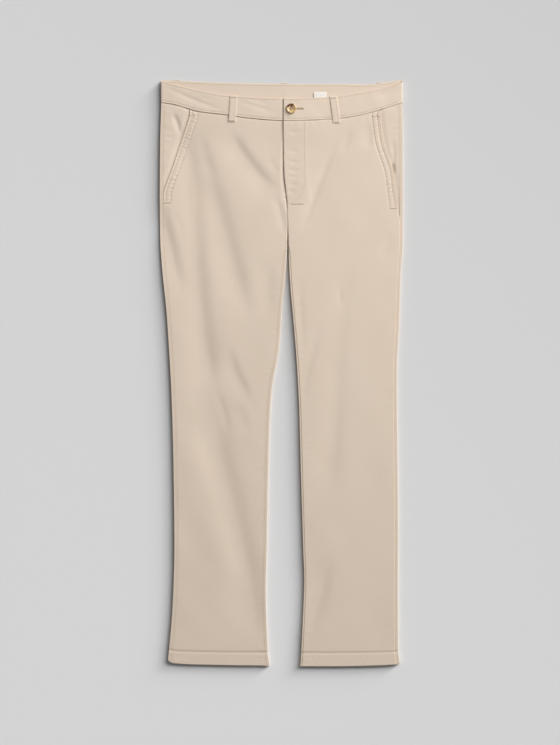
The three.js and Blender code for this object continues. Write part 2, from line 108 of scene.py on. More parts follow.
# Cloth and stack heights
CLOTH = 1.3
SHELL = 0.5
SEAM_FOLD = 0.26
FREE_FOLD = 0.36
FLAP = 4.0
BESIDE_FOLD = 0.12
SEAM_GAP = 0.08
STACK = 6.0
BAND_CLOTH = 2.0
BAND_BOTTOM = 1.6
BAND_TOP = 7.0
PANEL_TOP_AT_BAND = BAND_TOP - (BAND_CLOTH - CLOTH) / 2
PANEL_BOTTOM_AT_BAND = BAND_BOTTOM + (BAND_CLOTH - CLOTH) / 2
WAIST_RAMP = 60.0

# Places along the length
WAIST_Y = 494.5
BACK_SEAM_Y = 492.5
CROTCH_Y = 268.5
HEM_Y = -531.0
HEM_HEIGHT = 23.0
HEM_FOLD = 1.0
HEM_SLOPE = 60.0
LEVEL_BELOW_WAIST = 294.0
CROTCH_RISE = 20.0
CROTCH_MEETING = 36.0
CROTCH_FIN_HEIGHT = 1.3
CROTCH_FIN_SPREAD = 0.8
INSEAM_TURN = 60.0
ROPE_PITCH = 7.0

# Strength of the shade painted into the colour at seam folds, pocket and fly openings, the waist seam and
# rolled edges
PAINTED_SHADE_SEAM = 0.1
PAINTED_SHADE_OPENING = 0.5
PAINTED_SHADE_BAND = 0.3
PAINTED_SHADE_EDGE = 0.25
AT_FOLD = 0.6
OUTSEAM_INSET = 7.0
EDGE_CRISP = 0.25

# Fly: the left front laps over the right
FLY_END_Y = 305.0
FLY_STEP = 2.6
FLY_RISE = 0.6
FLY_RISE_AT_BAND = 1.6
FLY_FLAT = 20.0
FLY_FADE = 80.0
FLY_GAP = 1.4
UNDERLAP = 32.0
BAND_UNDERLAP_DROP = 1.1

CENTRE_LINE = Through((CROTCH_Y, 11.5), (308, 11), (332, 9), (377, 5.1), (461, 3.7))
FRONT_SEAM = Through(
    (-217, 494.5), (-195, 491), (-167, 482.6), (-149, 478), (-103, 472.6), (-60, 466.5),
    (10, 461.6), (98, 465.3), (144, 471.7), (180, 481.7), (202, 488.2), (220, 494.5),
)
FRONT_TOP = Through(
    (-215, 533), (-195, 527.5), (-149, 516.5), (-103, 508.3), (10, 501.9), (92, 505.5),
    (144, 512.9), (189, 522), (219, 532),
)
BACK_TOP = Through((-213, 535.7), (-94, 531.2), (10, 529.3), (107, 529.3), (162, 528.6), (219, 536.6))
CENTRE_X = float(CENTRE_LINE(WAIST_Y))


class Side(Enum):
    """The wearer's two sides: the right leg lies at negative X."""

    RIGHT = -1
    LEFT = 1


@dataclass(frozen=True)
class LegCut:
    """Outline of one leg and what is cut into its front.

    Attributes:
        side: Which leg it is.
        outer: Outer folded edge, x for each y.
        inner: Inner folded edge, x for each y.
        pocket: Slanted pocket opening, x for each y.
        pocket_foot: Level where the opening meets the outseam.
        hem: Rise of the hem for each x.
        inseam_inset: Distance of the inseam from the inner edge, on the front face.
    """

    side: Side
    outer: Through
    inner: Through
    pocket: Through
    pocket_foot: float
    hem: Through
    inseam_inset: float


RIGHT_LEG = LegCut(
    side=Side.RIGHT,
    outer=Through(
        (HEM_Y, -208), (-433, -200), (-340, -196.5), (-230, -197), (-120, -199), (-31, -202), (43, -206),
        (116, -211), (189, -218.5), (253, -222.4), (418, -222.4), (495, -220), (533, -218.7),
    ),
    inner=Through(
        (HEM_Y, -21.5), (-506, -24.7), (-397, -28.4), (-323, -26.5), (-140, -22.9), (-31, -17.4),
        (43, -4.6), (116, 0.9), (189, 8.2), (229, 10.3), (250, 10.9), (CROTCH_Y, 11.35),
    ),
    pocket=Through((306, -215.9), (331, -215.5), (382, -198), (483, -168)),
    pocket_foot=306.0,
    hem=Through((-208, 6), (-194, 0.5), (-110, -2.5), (-24, -3.5)),
    inseam_inset=8.0,
)
LEFT_LEG = LegCut(
    side=Side.LEFT,
    outer=Through(
        (HEM_Y, 217), (-506, 213.6), (-232, 213.2), (6, 211.4), (79, 215), (189, 218.7),
        (235, 222.3), (418, 222.3), (495, 221), (533, 220.5),
    ),
    inner=Through(
        (HEM_Y, 34), (-506, 35.7), (-433, 39.3), (-378, 41.2), (-323, 39.3), (-140, 33.9), (-67, 32),
        (6, 28.4), (79, 22.9), (152, 16.4), (189, 14.0), (229, 12.6), (250, 12.3), (CROTCH_Y, 11.65),
    ),
    pocket=Through((296, 212.6), (330, 208), (373, 202.4), (427, 186.7), (484, 179)),
    pocket_foot=296.0,
    hem=Through((36, -4.5), (127, -4.2), (205, -1.5), (216, 1)),
    inseam_inset=6.0,
)


@dataclass(frozen=True)
class Crease:
    """One soft trough or ridge in the front.

    Attributes:
        height: Height of its middle over the flat cloth.
        width: Distance from its middle at which it has mostly faded.
        path: Points that it runs through, where it is steepest.
        steep: Share of the width on its upper right side, under 1 where that side is the steeper.
        fade: Length over which it fades at each end.
    """

    height: float
    width: float
    path: tuple[tuple[float, float], ...]
    steep: float = 0.7
    fade: float = 70.0

    def lift(self, x: Array, y: Array) -> Array:
        """Height that the crease gives the cloth.

        Args:
            x: Places across.
            y: Places along.

        Returns:
            Its height at each place.
        """
        reach = 0.7 * self.width * self.steep
        x, y = x + 0.85 * reach, y + 0.4 * reach
        nearest = np.full(np.shape(x), np.inf)
        along = np.zeros(np.shape(x))
        side = np.zeros(np.shape(x))
        passed = 0.0
        for (ax, ay), (bx, by) in zip(self.path[:-1], self.path[1:]):
            length = math.hypot(bx - ax, by - ay)
            t = clamp01(((x - ax) * (bx - ax) + (y - ay) * (by - ay)) / length**2)
            off_x, off_y = x - mix(ax, bx, t), y - mix(ay, by, t)
            gap = np.hypot(off_x, off_y)
            closer = gap < nearest
            along = np.where(closer, passed + t * length, along)
            side = np.where(closer, (off_x + off_y) / (gap + 0.5) / 2**0.5, side)
            nearest = np.where(closer, gap, nearest)
            passed += length
        taper = smooth(np.minimum(along, passed - along) / min(self.fade, 0.45 * passed) + 0.1)
        width = self.width * mix(1.0, self.steep, smooth(0.5 + side))
        return self.height * taper * bell(nearest, width)


MAIN_CREASES = (
    Crease(
        -2.2, 28,
        ((-169, 456), (-158, 390), (-153, 326), (-148, 244), (-143, 162), (-130, 52), (-118, -30)),
        0.6,
    ),
    Crease(
        0.7, 34,
        ((-186, 107), (-168, 0), (-149, -131), (-126, -210), (-103, -278), (-85, -350), (-67, -424)),
        0.6, 120,
    ),
    Crease(-1.4, 50, ((-130, 90), (-122, 0), (-110, -90), (-98, -170)), 0.9, 120),
    Crease(
        -2.0, 42,
        ((-115, -40), (-103, -131), (-87, -204), (-67, -278), (-51, -351), (-40, -424), (-34, -510)),
        0.5, 120,
    ),
    Crease(-1.0, 14, ((-146, 446), (-132, 395), (-118, 350)), 0.7),
    Crease(
        -2.2, 32,
        ((-134, 405), (-116, 340), (-102, 290), (-88, 240), (-74, 184), (-62, 134), (-54, 90)),
        0.55, 110,
    ),
    Crease(-1.9, 28, ((-92, 447), (-71, 413), (-48, 381), (-26, 355), (-2, 332)), 0.35, 50),
    Crease(-0.9, 20, ((-22, 215), (-17, 165), (-18, 95)), 0.7),
    Crease(-1.1, 20, ((-96, 55), (-80, 6), (-67, -22), (-50, -58)), 0.4),
    Crease(-0.5, 18, ((-76, -49), (-57, -113)), 0.5),
    Crease(-1.8, 24, ((-216, 326), (-209, 280), (-197, 235), (-186, 189), (-176, 140)), 0.5),
    Crease(-0.8, 10, ((112, 436), (93, 399), (75, 354), (61, 317), (48, 280), (36, 250)), 0.5, 90),
    Crease(-0.9, 34, ((118, 440), (95, 380), (72, 320), (50, 262)), 0.6, 90),
    Crease(-0.9, 14, ((166, 462), (162, 407)), 0.6),
    Crease(-0.4, 14, ((208, 258), (188, 205)), 0.6),
    Crease(-0.6, 16, ((78, 99), (59, 33), (46, -20), (41, -58)), 0.5),
    Crease(-0.9, 26, ((113, -40), (102, -140), (92, -232)), 0.6, 110),
    Crease(-1.5, 28, ((96, -325), (80, -397), (66, -442), (50, -490)), 0.5, 80),
    Crease(-0.5, 22, ((130, 240), (121, 130), (112, 30), (105, -90), (100, -180)), 0.6, 140),
)
SMALL_CREASES = (
    Crease(-0.6, 8, ((-8, 330), (-1, 303), (5, 280), (7, 258)), 0.6, 20),
    Crease(0.5, 7, ((-200, -506), (-180, -492), (-164, -477))),
    Crease(-0.4, 6, ((111, 162), (109, 125))),
    Crease(-0.4, 7, ((-118, -20), (-100, -75), (-92, -118))),
    Crease(-0.5, 8, ((132, 446), (120, 420), (112, 402))),
    Crease(-0.35, 6, ((-196, 300), (-182, 270), (-176, 236))),
    Crease(-0.4, 5, ((-20, 396), (-6, 366))),
    Crease(-0.35, 8, ((36, 180), (40, 90), (44, 30))),
    Crease(-0.35, 4, ((11, 443), (26, 441), (37, 444)), 1.0),
    Crease(-0.28, 3.5, ((12, 408), (24, 406), (36, 407)), 1.0),
    Crease(-0.35, 3.5, ((12, 388), (26, 386), (35, 388)), 1.0),
    Crease(-0.4, 3.5, ((12, 374), (24, 371), (36, 374)), 1.0),
    Crease(-0.3, 3, ((12, 361), (22, 359), (33, 361)), 1.0),
    Crease(-0.45, 3.5, ((13, 347), (22, 345), (32, 349)), 1.0),
    Crease(-0.35, 3.5, ((13, 334), (21, 333), (28, 336)), 1.0),
)
# On the underside a crease lifts the cloth off the floor.
BACK_CREASES = (
    Crease(1.1, 17, ((-152, 436), (-121, 334), (-92, 252), (-60, 192)), 0.7, 60),
    Crease(0.8, 12, ((-62, 402), (-38, 330), (-22, 292)), 0.6, 40),
    Crease(0.6, 11, ((-184, 304), (-170, 222), (-163, 128)), 0.8),
    Crease(1.0, 19, ((-112, 66), (-104, -58), (-90, -172)), 0.7, 90),
    Crease(0.6, 13, ((-58, -206), (-75, -288), (-98, -352)), 0.6),
    Crease(0.9, 14, ((-153, -322), (-131, -424), (-119, -476)), 0.7),
    Crease(1.0, 18, ((142, 448), (106, 341), (68, 260)), 0.6, 60),
    Crease(0.5, 10, ((62, 424), (45, 352), (31, 306)), 0.7, 40),
    Crease(0.8, 14, ((172, 236), (151, 132), (143, 18)), 0.7),
    Crease(1.1, 20, ((112, 44), (97, -88), (86, -206)), 0.6, 100),
    Crease(0.6, 11, ((68, -236), (91, -326), (102, -408)), 0.8),
    Crease(0.9, 13, ((164, -292), (141, -398), (127, -474)), 0.6),
)
HIGHEST_BACK_RELIEF = 1.3
UNDERSIDE_RIPPLE = 6.0
UNDERSIDE_INNER_RIM = 6.0
UNDERSIDE_OUTER_RIM = 10.0
UNDERSIDE_EASE = 14.0
LOWEST_RELIEF = -2.8
LOWEST_RELIEF_AT_POCKET = -2.4


@dataclass(frozen=True)
class Ripples:
    """Soft unevenness of cloth that has been pressed and laid down by hand.

    Attributes:
        height: Typical height.
        across: Shortest distance between ripples across the garment.
        along: Shortest distance between them along it.
        seed: Fixes which ones there are.
        count: How many waves are added together.
    """

    height: float
    across: float
    along: float
    seed: int
    count: int = 9

    def lift(self, x: Array, y: Array) -> Array:
        """Height of the ripples at each place.

        Args:
            x: Places across.
            y: Places along.

        Returns:
            The heights.
        """
        rng = np.random.default_rng(self.seed)
        total = np.zeros(np.broadcast(x, y).shape)
        for _ in range(self.count):
            stretch = rng.uniform(1.0, 2.6)
            turn = rng.uniform(-0.5, 0.5)
            phase = rng.uniform(0, 2 * math.pi, 2)
            wave = 2 * math.pi / (self.across * stretch)
            drift = 2 * math.pi / (self.along * stretch)
            total += np.sin(wave * (x + turn * y) + phase[0]) * np.sin(drift * y + phase[1]) / self.count**0.5
        return self.height * total


LAID_UNEVEN = Ripples(height=0.18, across=60, along=190, seed=11)


def over_fly(x: Array, y: Array) -> Array:
    """Share of a place that lies over the closed fly."""
    beside = smooth((np.abs(x - CENTRE_LINE(y) - 18) - 18) / 12)
    return smooth((y - FLY_END_Y) / 25) * (1 - beside)


def relief(x: Array, y: Array) -> Array:
    """Height of the front's creases, kept shallow over the fly, pockets, hem and waist seam.

    Args:
        x: Places across.
        y: Places along.

    Returns:
        Height over the flat cloth.
    """
    total = sum(crease.lift(x, y) for crease in MAIN_CREASES)
    near_pocket = smooth((y - RIGHT_LEG.pocket_foot + 60) / 60) * smooth((np.abs(x) - 130) / 30)
    total = np.maximum(total, mix(LOWEST_RELIEF, LOWEST_RELIEF_AT_POCKET, near_pocket))
    total = (total + LAID_UNEVEN.lift(x, y)) * (1 - 0.7 * over_fly(x, y))
    total = total + sum(crease.lift(x, y) for crease in SMALL_CREASES)
    near_hem = smooth((y - HEM_Y - HEM_HEIGHT) / 40)
    near_waist = smooth((FRONT_SEAM(x) - y) / 20)
    return total * mix(0.15, 1.0, near_hem) * near_waist


def back_relief(x: Array, y: Array) -> Array:
    """Height of the creases under the back, kept shallow at the hem and waist seam.

    Args:
        x: Places across.
        y: Places along.

    Returns:
        Height over the floor, never under it.
    """
    total = sum(crease.lift(x, y) for crease in BACK_CREASES)
    total = total + UNDERSIDE_RIPPLE * LAID_UNEVEN.lift(x + 400, y) ** 2
    near_hem = smooth((y - HEM_Y - HEM_HEIGHT - 6) / 40)
    near_waist = smooth((BACK_SEAM_Y - y) / 30)
    return np.minimum(total, HIGHEST_BACK_RELIEF) * near_hem * near_waist


def closure(x: Array, y: Array) -> Array:
    """Share of the fly's lift: all of it over the underlap, none past the fade."""
    return 1 - smooth((x - CENTRE_LINE(y) - FLY_FLAT) / FLY_FADE)


def fly_lift(x: Array, y: float) -> Array:
    """How far the lapped left front rises over the closed fly."""
    near_waist = 1 - smooth((WAIST_Y - y) / WAIST_RAMP)
    return closure(x, y) * mix(FLY_RISE, FLY_RISE_AT_BAND, near_waist) * smooth((y - FLY_END_Y) / 60)


def fly_shift(side: Side, x: Array, y: float) -> Array:
    """Change of a front's height at the fly: the left one rises, the right one steps down under it."""
    if side is Side.LEFT:
        return fly_lift(x, y)
    centre = CENTRE_LINE(y)
    step = smooth((x - centre + FLY_STEP) / FLY_STEP)
    under = (CLOTH + FLY_GAP) * smooth((y - FLY_END_Y + 10) / 10)
    return step * (fly_lift(np.maximum(x, centre), y) - under)


SECTION_PARTS = ("across", "z", "out_x", "out_z", "front")


@dataclass
class Section:
    """Points across one level, on the cloth's outer face.

    Attributes:
        across: Distance from the leg's inner edge.
        z: Height.
        out_x: Outward direction across, away from the inner edge.
        out_z: Outward direction upwards.
        front: Share of "front": 1 on the top face, 0 underneath.
    """

    across: Array
    z: Array
    out_x: Array
    out_z: Array
    front: Array

    @staticmethod
    def joined(parts: list["Section"]) -> "Section":
        """One section from several, in order."""
        return Section(*(np.concatenate([getattr(part, name) for part in parts]) for name in SECTION_PARTS))


class Level:
    """Cross-section of one leg at one level: its edges, its stack and its rolled inner edge."""

    def __init__(self, leg: LegCut, y: float) -> None:
        """Work out the section's sizes.

        Args:
            leg: The leg that is cut across.
            y: The level.
        """
        self.leg, self.y, self.sign = leg, y, leg.side.value
        self.above = y >= CROTCH_Y
        near_waist = 1 - float(smooth((WAIST_Y - y) / WAIST_RAMP))
        self.top = mix(STACK, PANEL_TOP_AT_BAND, near_waist)
        self.bottom = PANEL_BOTTOM_AT_BAND * near_waist
        self.radius = (self.top - self.bottom) / 2
        self.turn = math.pi / 2 * (1 - float(smooth((y - CROTCH_Y) / CROTCH_RISE)) if self.above else 1.0)
        centre = float(CENTRE_LINE(y)) + self.sign * SEAM_GAP / 2
        self.inner = centre if self.above else float(leg.inner(y))
        self.width = abs(float(leg.outer(y)) - self.inner)
        to_centre = max(0.0, self.sign * (self.inner - float(CENTRE_LINE(y))) - SEAM_GAP / 2)
        self.crotch_reach = to_centre * float(smooth((y - CROTCH_Y + CROTCH_MEETING + 8) / 8))
        turned = float(smooth((CROTCH_Y - y) / INSEAM_TURN))
        self.inseam = mix(-self.turn * self.radius, leg.inseam_inset - self.radius, turned)
        self.roll_depth = EDGE_CRISP * self.radius * math.sin(self.turn)

    def flat(self, across: Array, up: bool) -> Section:
        """Points on the flat top or underside."""
        one = np.ones_like(across)
        z = one * (self.top if up else self.bottom)
        return Section(across, z, 0 * one, one if up else -one, one if up else 0 * one)

    def inner_roll(self, angle: Array) -> Section:
        """Points on the rolled inner edge, at angles from the top tangent."""
        z = self.bottom + self.radius * (1 + np.cos(angle))
        across = self.roll_depth - EDGE_CRISP * self.radius * np.sin(angle)
        across = across - self.crotch_reach * bell(z - self.bottom - CROTCH_FIN_HEIGHT, CROTCH_FIN_SPREAD)
        return Section(across, z, -np.sin(angle), np.cos(angle), (1 + np.cos(angle)) / 2)

    def outer_roll(self, angle: Array) -> Section:
        """Points on the rolled outer edge, at angles from the top tangent."""
        across = self.width - EDGE_CRISP * self.radius * (1 - np.sin(angle))
        z = self.bottom + self.radius * (1 + np.cos(angle))
        return Section(across, z, np.sin(angle), np.cos(angle), (1 + np.cos(angle)) / 2)

    def front_points(self, place: Array) -> Section:
        """Points of the front at arc places from the inner tangent, negative on the roll."""
        on_flat = (place >= 0) | (self.turn == 0)
        flat = self.flat(np.where(place >= 0, self.roll_depth, 0) + place, up=True)
        roll = self.inner_roll(np.where(on_flat, 0, -place / self.radius))
        return self.choose(on_flat, flat, roll)

    def back_points(self, place: Array) -> Section:
        """Points of the back at arc places from the inner bottom tangent, negative on the flat."""
        roll_length = math.pi * self.radius
        flat = self.flat(self.roll_depth - place, up=False)
        roll = self.inner_roll(math.pi - np.clip(place, 0, roll_length) / self.radius)
        lip = self.flat(self.roll_depth + place - roll_length, up=True)
        return self.choose(place <= 0, flat, self.choose(place <= roll_length, roll, lip))

    @staticmethod
    def choose(which: Array, yes: Section, no: Section) -> Section:
        """Points from one section where a test holds, and from another where not."""
        return Section(*(np.where(which, getattr(yes, name), getattr(no, name)) for name in SECTION_PARTS))

    def along_shift(self, x: Array, front: Array) -> Array:
        """Shift along the garment, so that rows end on the curved waist seam and the sloped hem."""
        to_waist = mix(BACK_SEAM_Y, FRONT_SEAM(x), front) - WAIST_Y
        reach = smooth((self.y - LEVEL_BELOW_WAIST) / (WAIST_Y - LEVEL_BELOW_WAIST))
        return to_waist * reach + self.leg.hem(x) * smooth((HEM_Y + HEM_SLOPE - self.y) / HEM_SLOPE)

    def place(self, section: Section, depth: Array, lift: Array, at_fly: bool = False) -> Array:
        """Places in space of a section's points.

        Args:
            section: The points.
            depth: How far each lies inside the outer face.
            lift: Height added on the front.
            at_fly: Whether the fly's step applies.

        Returns:
            One x, y, z for each point, in millimetres.
        """
        outer_x = self.inner + self.sign * section.across
        along = self.y + self.along_shift(outer_x, section.front)
        shift = fly_shift(self.leg.side, outer_x, self.y) if at_fly else 0.0
        x = self.inner + self.sign * (section.across - section.out_x * depth)
        z = section.z - section.out_z * depth + section.front * (relief(outer_x, along) + shift + lift)
        from_inner = smooth((section.across - self.roll_depth - UNDERSIDE_INNER_RIM) / UNDERSIDE_EASE)
        from_outer = smooth((self.width - section.across - UNDERSIDE_OUTER_RIM) / UNDERSIDE_EASE)
        z = z + (section.front < 0.01) * from_inner * from_outer * back_relief(outer_x, along)
        return np.stack([x, along, z], axis=1)


class ClothMesh:
    """Turns a grid of points into a thin cloth shell."""

    @staticmethod
    def area(grid: Array) -> float:
        """Area of a grid of points.

        Args:
            grid: Rows of points in millimetres.

        Returns:
            Its area in square metres.
        """
        a = grid[1:, :-1] - grid[:-1, :-1]
        b = grid[:-1, 1:] - grid[:-1, :-1]
        return float(np.linalg.norm(np.cross(a, b), axis=2).sum()) * MM * MM

    @staticmethod
    def build(
        name: str, grid: Array, wear_and_painted_shade: Array, outward: Vector, thickness: float = SHELL
    ) -> bpy.types.Object:
        """Make the shell.

        Args:
            name: The piece's name.
            grid: Rows of points in millimetres, on the outer face.
            wear_and_painted_shade: Wear and painted shade of each point: over 0 where the cloth is rubbed
                pale, under 0 where shade is painted into folds, seams and rolled edges.
            outward: Direction that the middle of the grid faces.
            thickness: Thickness of the shell, in millimetres.

        Returns:
            The piece, with its thickness applied.
        """
        rows, columns = grid.shape[:2]
        index = np.arange(rows * columns).reshape(rows, columns)
        corner_grids = [index[:-1, :-1], index[:-1, 1:], index[1:, 1:], index[1:, :-1]]
        quads = np.stack(corner_grids, axis=2).reshape(-1, 4)
        middle = quads[len(quads) // 2]
        flat = grid.reshape(-1, 3)
        facing = np.cross(flat[middle[1]] - flat[middle[0]], flat[middle[3]] - flat[middle[0]])
        if float(np.dot(facing, outward)) < 0:
            quads = quads[:, ::-1]
        mesh = bpy.data.meshes.new(name)
        mesh.from_pydata((flat * MM).tolist(), [], quads.tolist())
        across = np.cumsum(np.linalg.norm(np.diff(grid, axis=1, prepend=grid[:, :1]), axis=2), axis=1)
        along = np.cumsum(np.linalg.norm(np.diff(grid, axis=0, prepend=grid[:1]), axis=2), axis=0)
        flat_uv = np.stack([across.reshape(-1), np.repeat(along[:, columns // 2], columns)], axis=1) * MM
        uv = mesh.uv_layers.new(name="weave")
        corners = np.empty(len(mesh.loops), dtype=np.int32)
        mesh.loops.foreach_get("vertex_index", corners)
        uv.data.foreach_set("uv", flat_uv[corners].astype(np.float32).reshape(-1))
        wear_and_shade_layer = mesh.attributes.new("wear_and_painted_shade", "FLOAT", "POINT")
        wear_and_shade_layer.data.foreach_set("value", wear_and_painted_shade.reshape(-1).astype(np.float32))
        piece = Tools.link(name, mesh)
        shell = piece.modifiers.new("cloth thickness", "SOLIDIFY")
        shell.thickness = thickness * MM
        shell.offset = -1.0
        Tools.apply(piece)
        bpy.ops.object.shade_smooth_by_angle(angle=math.radians(50))
        return piece


class Tools:
    """Small steps that every piece needs."""

    @staticmethod
    def link(name: str, data: bpy.types.ID) -> bpy.types.Object:
        """Put a mesh, light or camera into the scene as an object at the origin."""
        made = bpy.data.objects.new(name, data)
        bpy.context.scene.collection.objects.link(made)
        return made

    @staticmethod
    def only(piece: bpy.types.Object) -> None:
        """Make one object the active and only selected one."""
        bpy.ops.object.select_all(action="DESELECT")
        piece.select_set(True)
        bpy.context.view_layer.objects.active = piece

    @staticmethod
    def apply(piece: bpy.types.Object) -> None:
        """Apply all of a piece's modifiers, in order."""
        Tools.only(piece)
        for modifier in list(piece.modifiers):
            bpy.ops.object.modifier_apply(modifier=modifier.name)

    @staticmethod
    def carve(piece: bpy.types.Object, cutter: bpy.types.Object) -> None:
        """Cut one object's shape out of a piece, and delete the cutter."""
        cutting = piece.modifiers.new("cut", "BOOLEAN")
        cutting.operation = "DIFFERENCE"
        cutting.object = cutter
        cutting.solver = "EXACT"
        Tools.apply(piece)
        bpy.data.objects.remove(cutter, do_unlink=True)

    @staticmethod
    def settle(piece: bpy.types.Object) -> None:
        """Put a piece's place into its mesh, so that its object sits at the origin."""
        Tools.only(piece)
        bpy.ops.object.transform_apply(location=True, rotation=True, scale=True)

    @staticmethod
    def finish(piece: bpy.types.Object, material: bpy.types.Material, slot: str, *nodes: str) -> None:
        """Give a piece its material and its body, and hide the nodes that it stands for."""
        piece.data.materials.clear()
        piece.data.materials.append(material)
        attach(piece, "root")
        if nodes:
            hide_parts(*nodes)
        LOG.info("%s: %d faces", piece.name, len(piece.data.polygons))


def linear(hex_colour: str) -> tuple[float, float, float, float]:
    """Turn an sRGB hex colour into the linear one that shaders use.

    Args:
        hex_colour: Six hex digits after a hash.

    Returns:
        Red, green, blue and an alpha of 1.
    """
    parts = [int(hex_colour[i : i + 2], 16) / 255 for i in (1, 3, 5)]
    shades = [c / 12.92 if c <= 0.04045 else ((c + 0.055) / 1.055) ** 2.4 for c in parts]
    return (*shades, 1.0)


# Scale of a wave texture whose ribs stand one metre apart
WAVE_TO_RIB = 0.314


class Finish:
    """A material under construction: its node tree and its shader."""

    def __init__(self, name: str) -> None:
        """Start a material with only its shader and output."""
        self.material = bpy.data.materials.new(name)
        self.material.use_nodes = True
        self.tree = self.material.node_tree
        self.tree.nodes.clear()
        self.shader = self.add("ShaderNodeBsdfPrincipled")
        self.add("ShaderNodeOutputMaterial", {"Surface": self.shader.outputs["BSDF"]})

    def add(self, kind: str, sockets: dict | None = None, **settings: object) -> bpy.types.Node:
        """Add one node.

        Args:
            kind: The node's type.
            sockets: Value or link for each input, by name or number.
            settings: The node's own settings.

        Returns:
            The node.
        """
        node = self.tree.nodes.new(kind)
        for name, value in settings.items():
            setattr(node, name, value)
        for name, value in (sockets or {}).items():
            if isinstance(value, bpy.types.NodeSocket):
                self.tree.links.new(value, node.inputs[name])
            else:
                node.inputs[name].default_value = value
        return node

    def pattern(self, kind: str, place: bpy.types.NodeSocket, **inputs: object) -> bpy.types.NodeSocket:
        """Add a texture over places, and give its grey value."""
        return self.add(kind, {"Vector": place, **inputs}).outputs["Fac"]

    def mapped(self, place: bpy.types.NodeSocket, **inputs: object) -> bpy.types.NodeSocket:
        """Turn or stretch places."""
        return self.add("ShaderNodeMapping", {"Vector": place, **inputs}).outputs["Vector"]

    def sum(self, operation: str, *values: object) -> bpy.types.NodeSocket:
        """Work out a sum of values or links."""
        return self.add("ShaderNodeMath", dict(enumerate(values)), operation=operation).outputs["Value"]

    def ranged(
        self, value: bpy.types.NodeSocket, to: tuple[float, float], of: tuple[float, float] = (0.0, 1.0)
    ) -> bpy.types.NodeSocket:
        """Map a value from one span to another, and hold it at the ends."""
        spans = {"From Min": of[0], "From Max": of[1], "To Min": to[0], "To Max": to[1]}
        return self.add("ShaderNodeMapRange", {"Value": value, **spans}).outputs["Result"]

    def blend(self, share: object, one: object, other: object) -> bpy.types.NodeSocket:
        """Mix two colours, each an sRGB hex one or a link, by a share of the other."""
        one, other = (linear(c) if isinstance(c, str) else c for c in (one, other))
        return self.add("ShaderNodeMix", {0: share, 6: one, 7: other}, data_type="RGBA").outputs[2]

    def bump(self, height: bpy.types.NodeSocket, strength: float, distance: float) -> bpy.types.NodeSocket:
        """Turn a height into normals."""
        sockets = {"Strength": strength, "Distance": distance, "Height": height}
        return self.add("ShaderNodeBump", sockets).outputs["Normal"]

    def place(self) -> bpy.types.NodeSocket:
        """Places on the object, in metres."""
        return self.add("ShaderNodeTexCoord").outputs["Object"]

    def set(self, **values: object) -> None:
        """Set or link the shader's own inputs, named with underscores for spaces."""
        for name, value in values.items():
            socket = self.shader.inputs[name.replace("_", " ")]
            if isinstance(value, bpy.types.NodeSocket):
                self.tree.links.new(value, socket)
            else:
                socket.default_value = value


@dataclass(frozen=True)
class CottonTwill:
    """Brushed cotton twill, garment washed: matt, faintly slubbed, a little paler where seams rub, with
    painted shade darkening its seam folds, seam lines and rolled edges.

    Attributes:
        name: The material's name.
        colour: Main shade of the cloth.
        shade: Shade of the deeper yarns.
        pale: Shade where the cloth is rubbed.
        painted_shade_tone: Brown of the painted shade that darkens seam folds, seam lines and rolled edges.
        rib: Distance between twill ribs in metres, drawn coarser than the real 0.5 mm so that it shows.
    """

    name: str = "brushed cotton twill"
    colour: str = "#d9c8b6"
    shade: str = "#cfbca6"
    pale: str = "#dccdba"
    painted_shade_tone: str = "#8c7256"
    rib: float = 0.0009

    def build(self) -> bpy.types.Material:
        """Make the material."""
        f = Finish(self.name)
        uv = f.add("ShaderNodeUVMap", uv_map="weave").outputs["UV"]
        diagonal = f.mapped(uv, Rotation=(0, 0, math.radians(63)))
        scale = WAVE_TO_RIB / self.rib
        ribs = f.pattern("ShaderNodeTexWave", diagonal, Scale=scale, Distortion=1.2, Detail=1.0)
        warp = f.mapped(uv, Scale=(1.0, 0.12, 1.0))
        slub = f.pattern("ShaderNodeTexNoise", warp, Scale=900.0, Detail=3.0)
        cloudy = f.pattern("ShaderNodeTexNoise", uv, Scale=14.0, Detail=4.0, Roughness=0.6)
        yarn = f.blend(slub, self.shade, self.colour)
        washed = f.blend(f.ranged(cloudy, (0.0, 0.35), (0.35, 0.65)), self.colour, yarn)
        wear_and_painted_shade = f.add("ShaderNodeAttribute", attribute_name="wear_and_painted_shade").outputs["Fac"]
        rubbed = f.blend(f.sum("MULTIPLY", wear_and_painted_shade, cloudy), washed, self.pale)
        # Painted shade: under 0 the attribute darkens the colour towards a brown, standing in for shade in
        # folds, seams and on rolled edges.
        painted_shade = f.blend(f.sum("MULTIPLY", wear_and_painted_shade, -1.0), rubbed, self.painted_shade_tone)
        raised = f.sum("MULTIPLY_ADD", ribs, 0.6, slub)
        f.set(
            Base_Color=painted_shade, Roughness=f.ranged(slub, (0.86, 0.97)), Normal=f.bump(raised, 0.22, 0.00025),
            IOR=1.5, Specular_IOR_Level=0.25, Sheen_Weight=0.12, Sheen_Roughness=0.45,
        )
        return f.material


@dataclass(frozen=True)
class SewingThread:
    """Twisted polyester-cotton sewing thread: fine ply lines and a dull gleam.

    Attributes:
        name: The material's name.
        colour: Shade of the thread.
        shade: Shade between its plies.
    """

    name: str = "twisted sewing thread"
    colour: str = "#d9c6ae"
    shade: str = "#bda88d"

    def build(self) -> bpy.types.Material:
        """Make the material."""
        f = Finish(self.name)
        turned = f.mapped(f.place(), Rotation=(0, 0, math.radians(35)))
        ply = f.pattern("ShaderNodeTexWave", turned, Scale=900.0, Distortion=0.6)
        tone = f.blend(ply, self.shade, self.colour)
        f.set(Base_Color=tone, Roughness=0.62, IOR=1.5, Normal=f.bump(ply, 0.3, 0.0001))
        return f.material


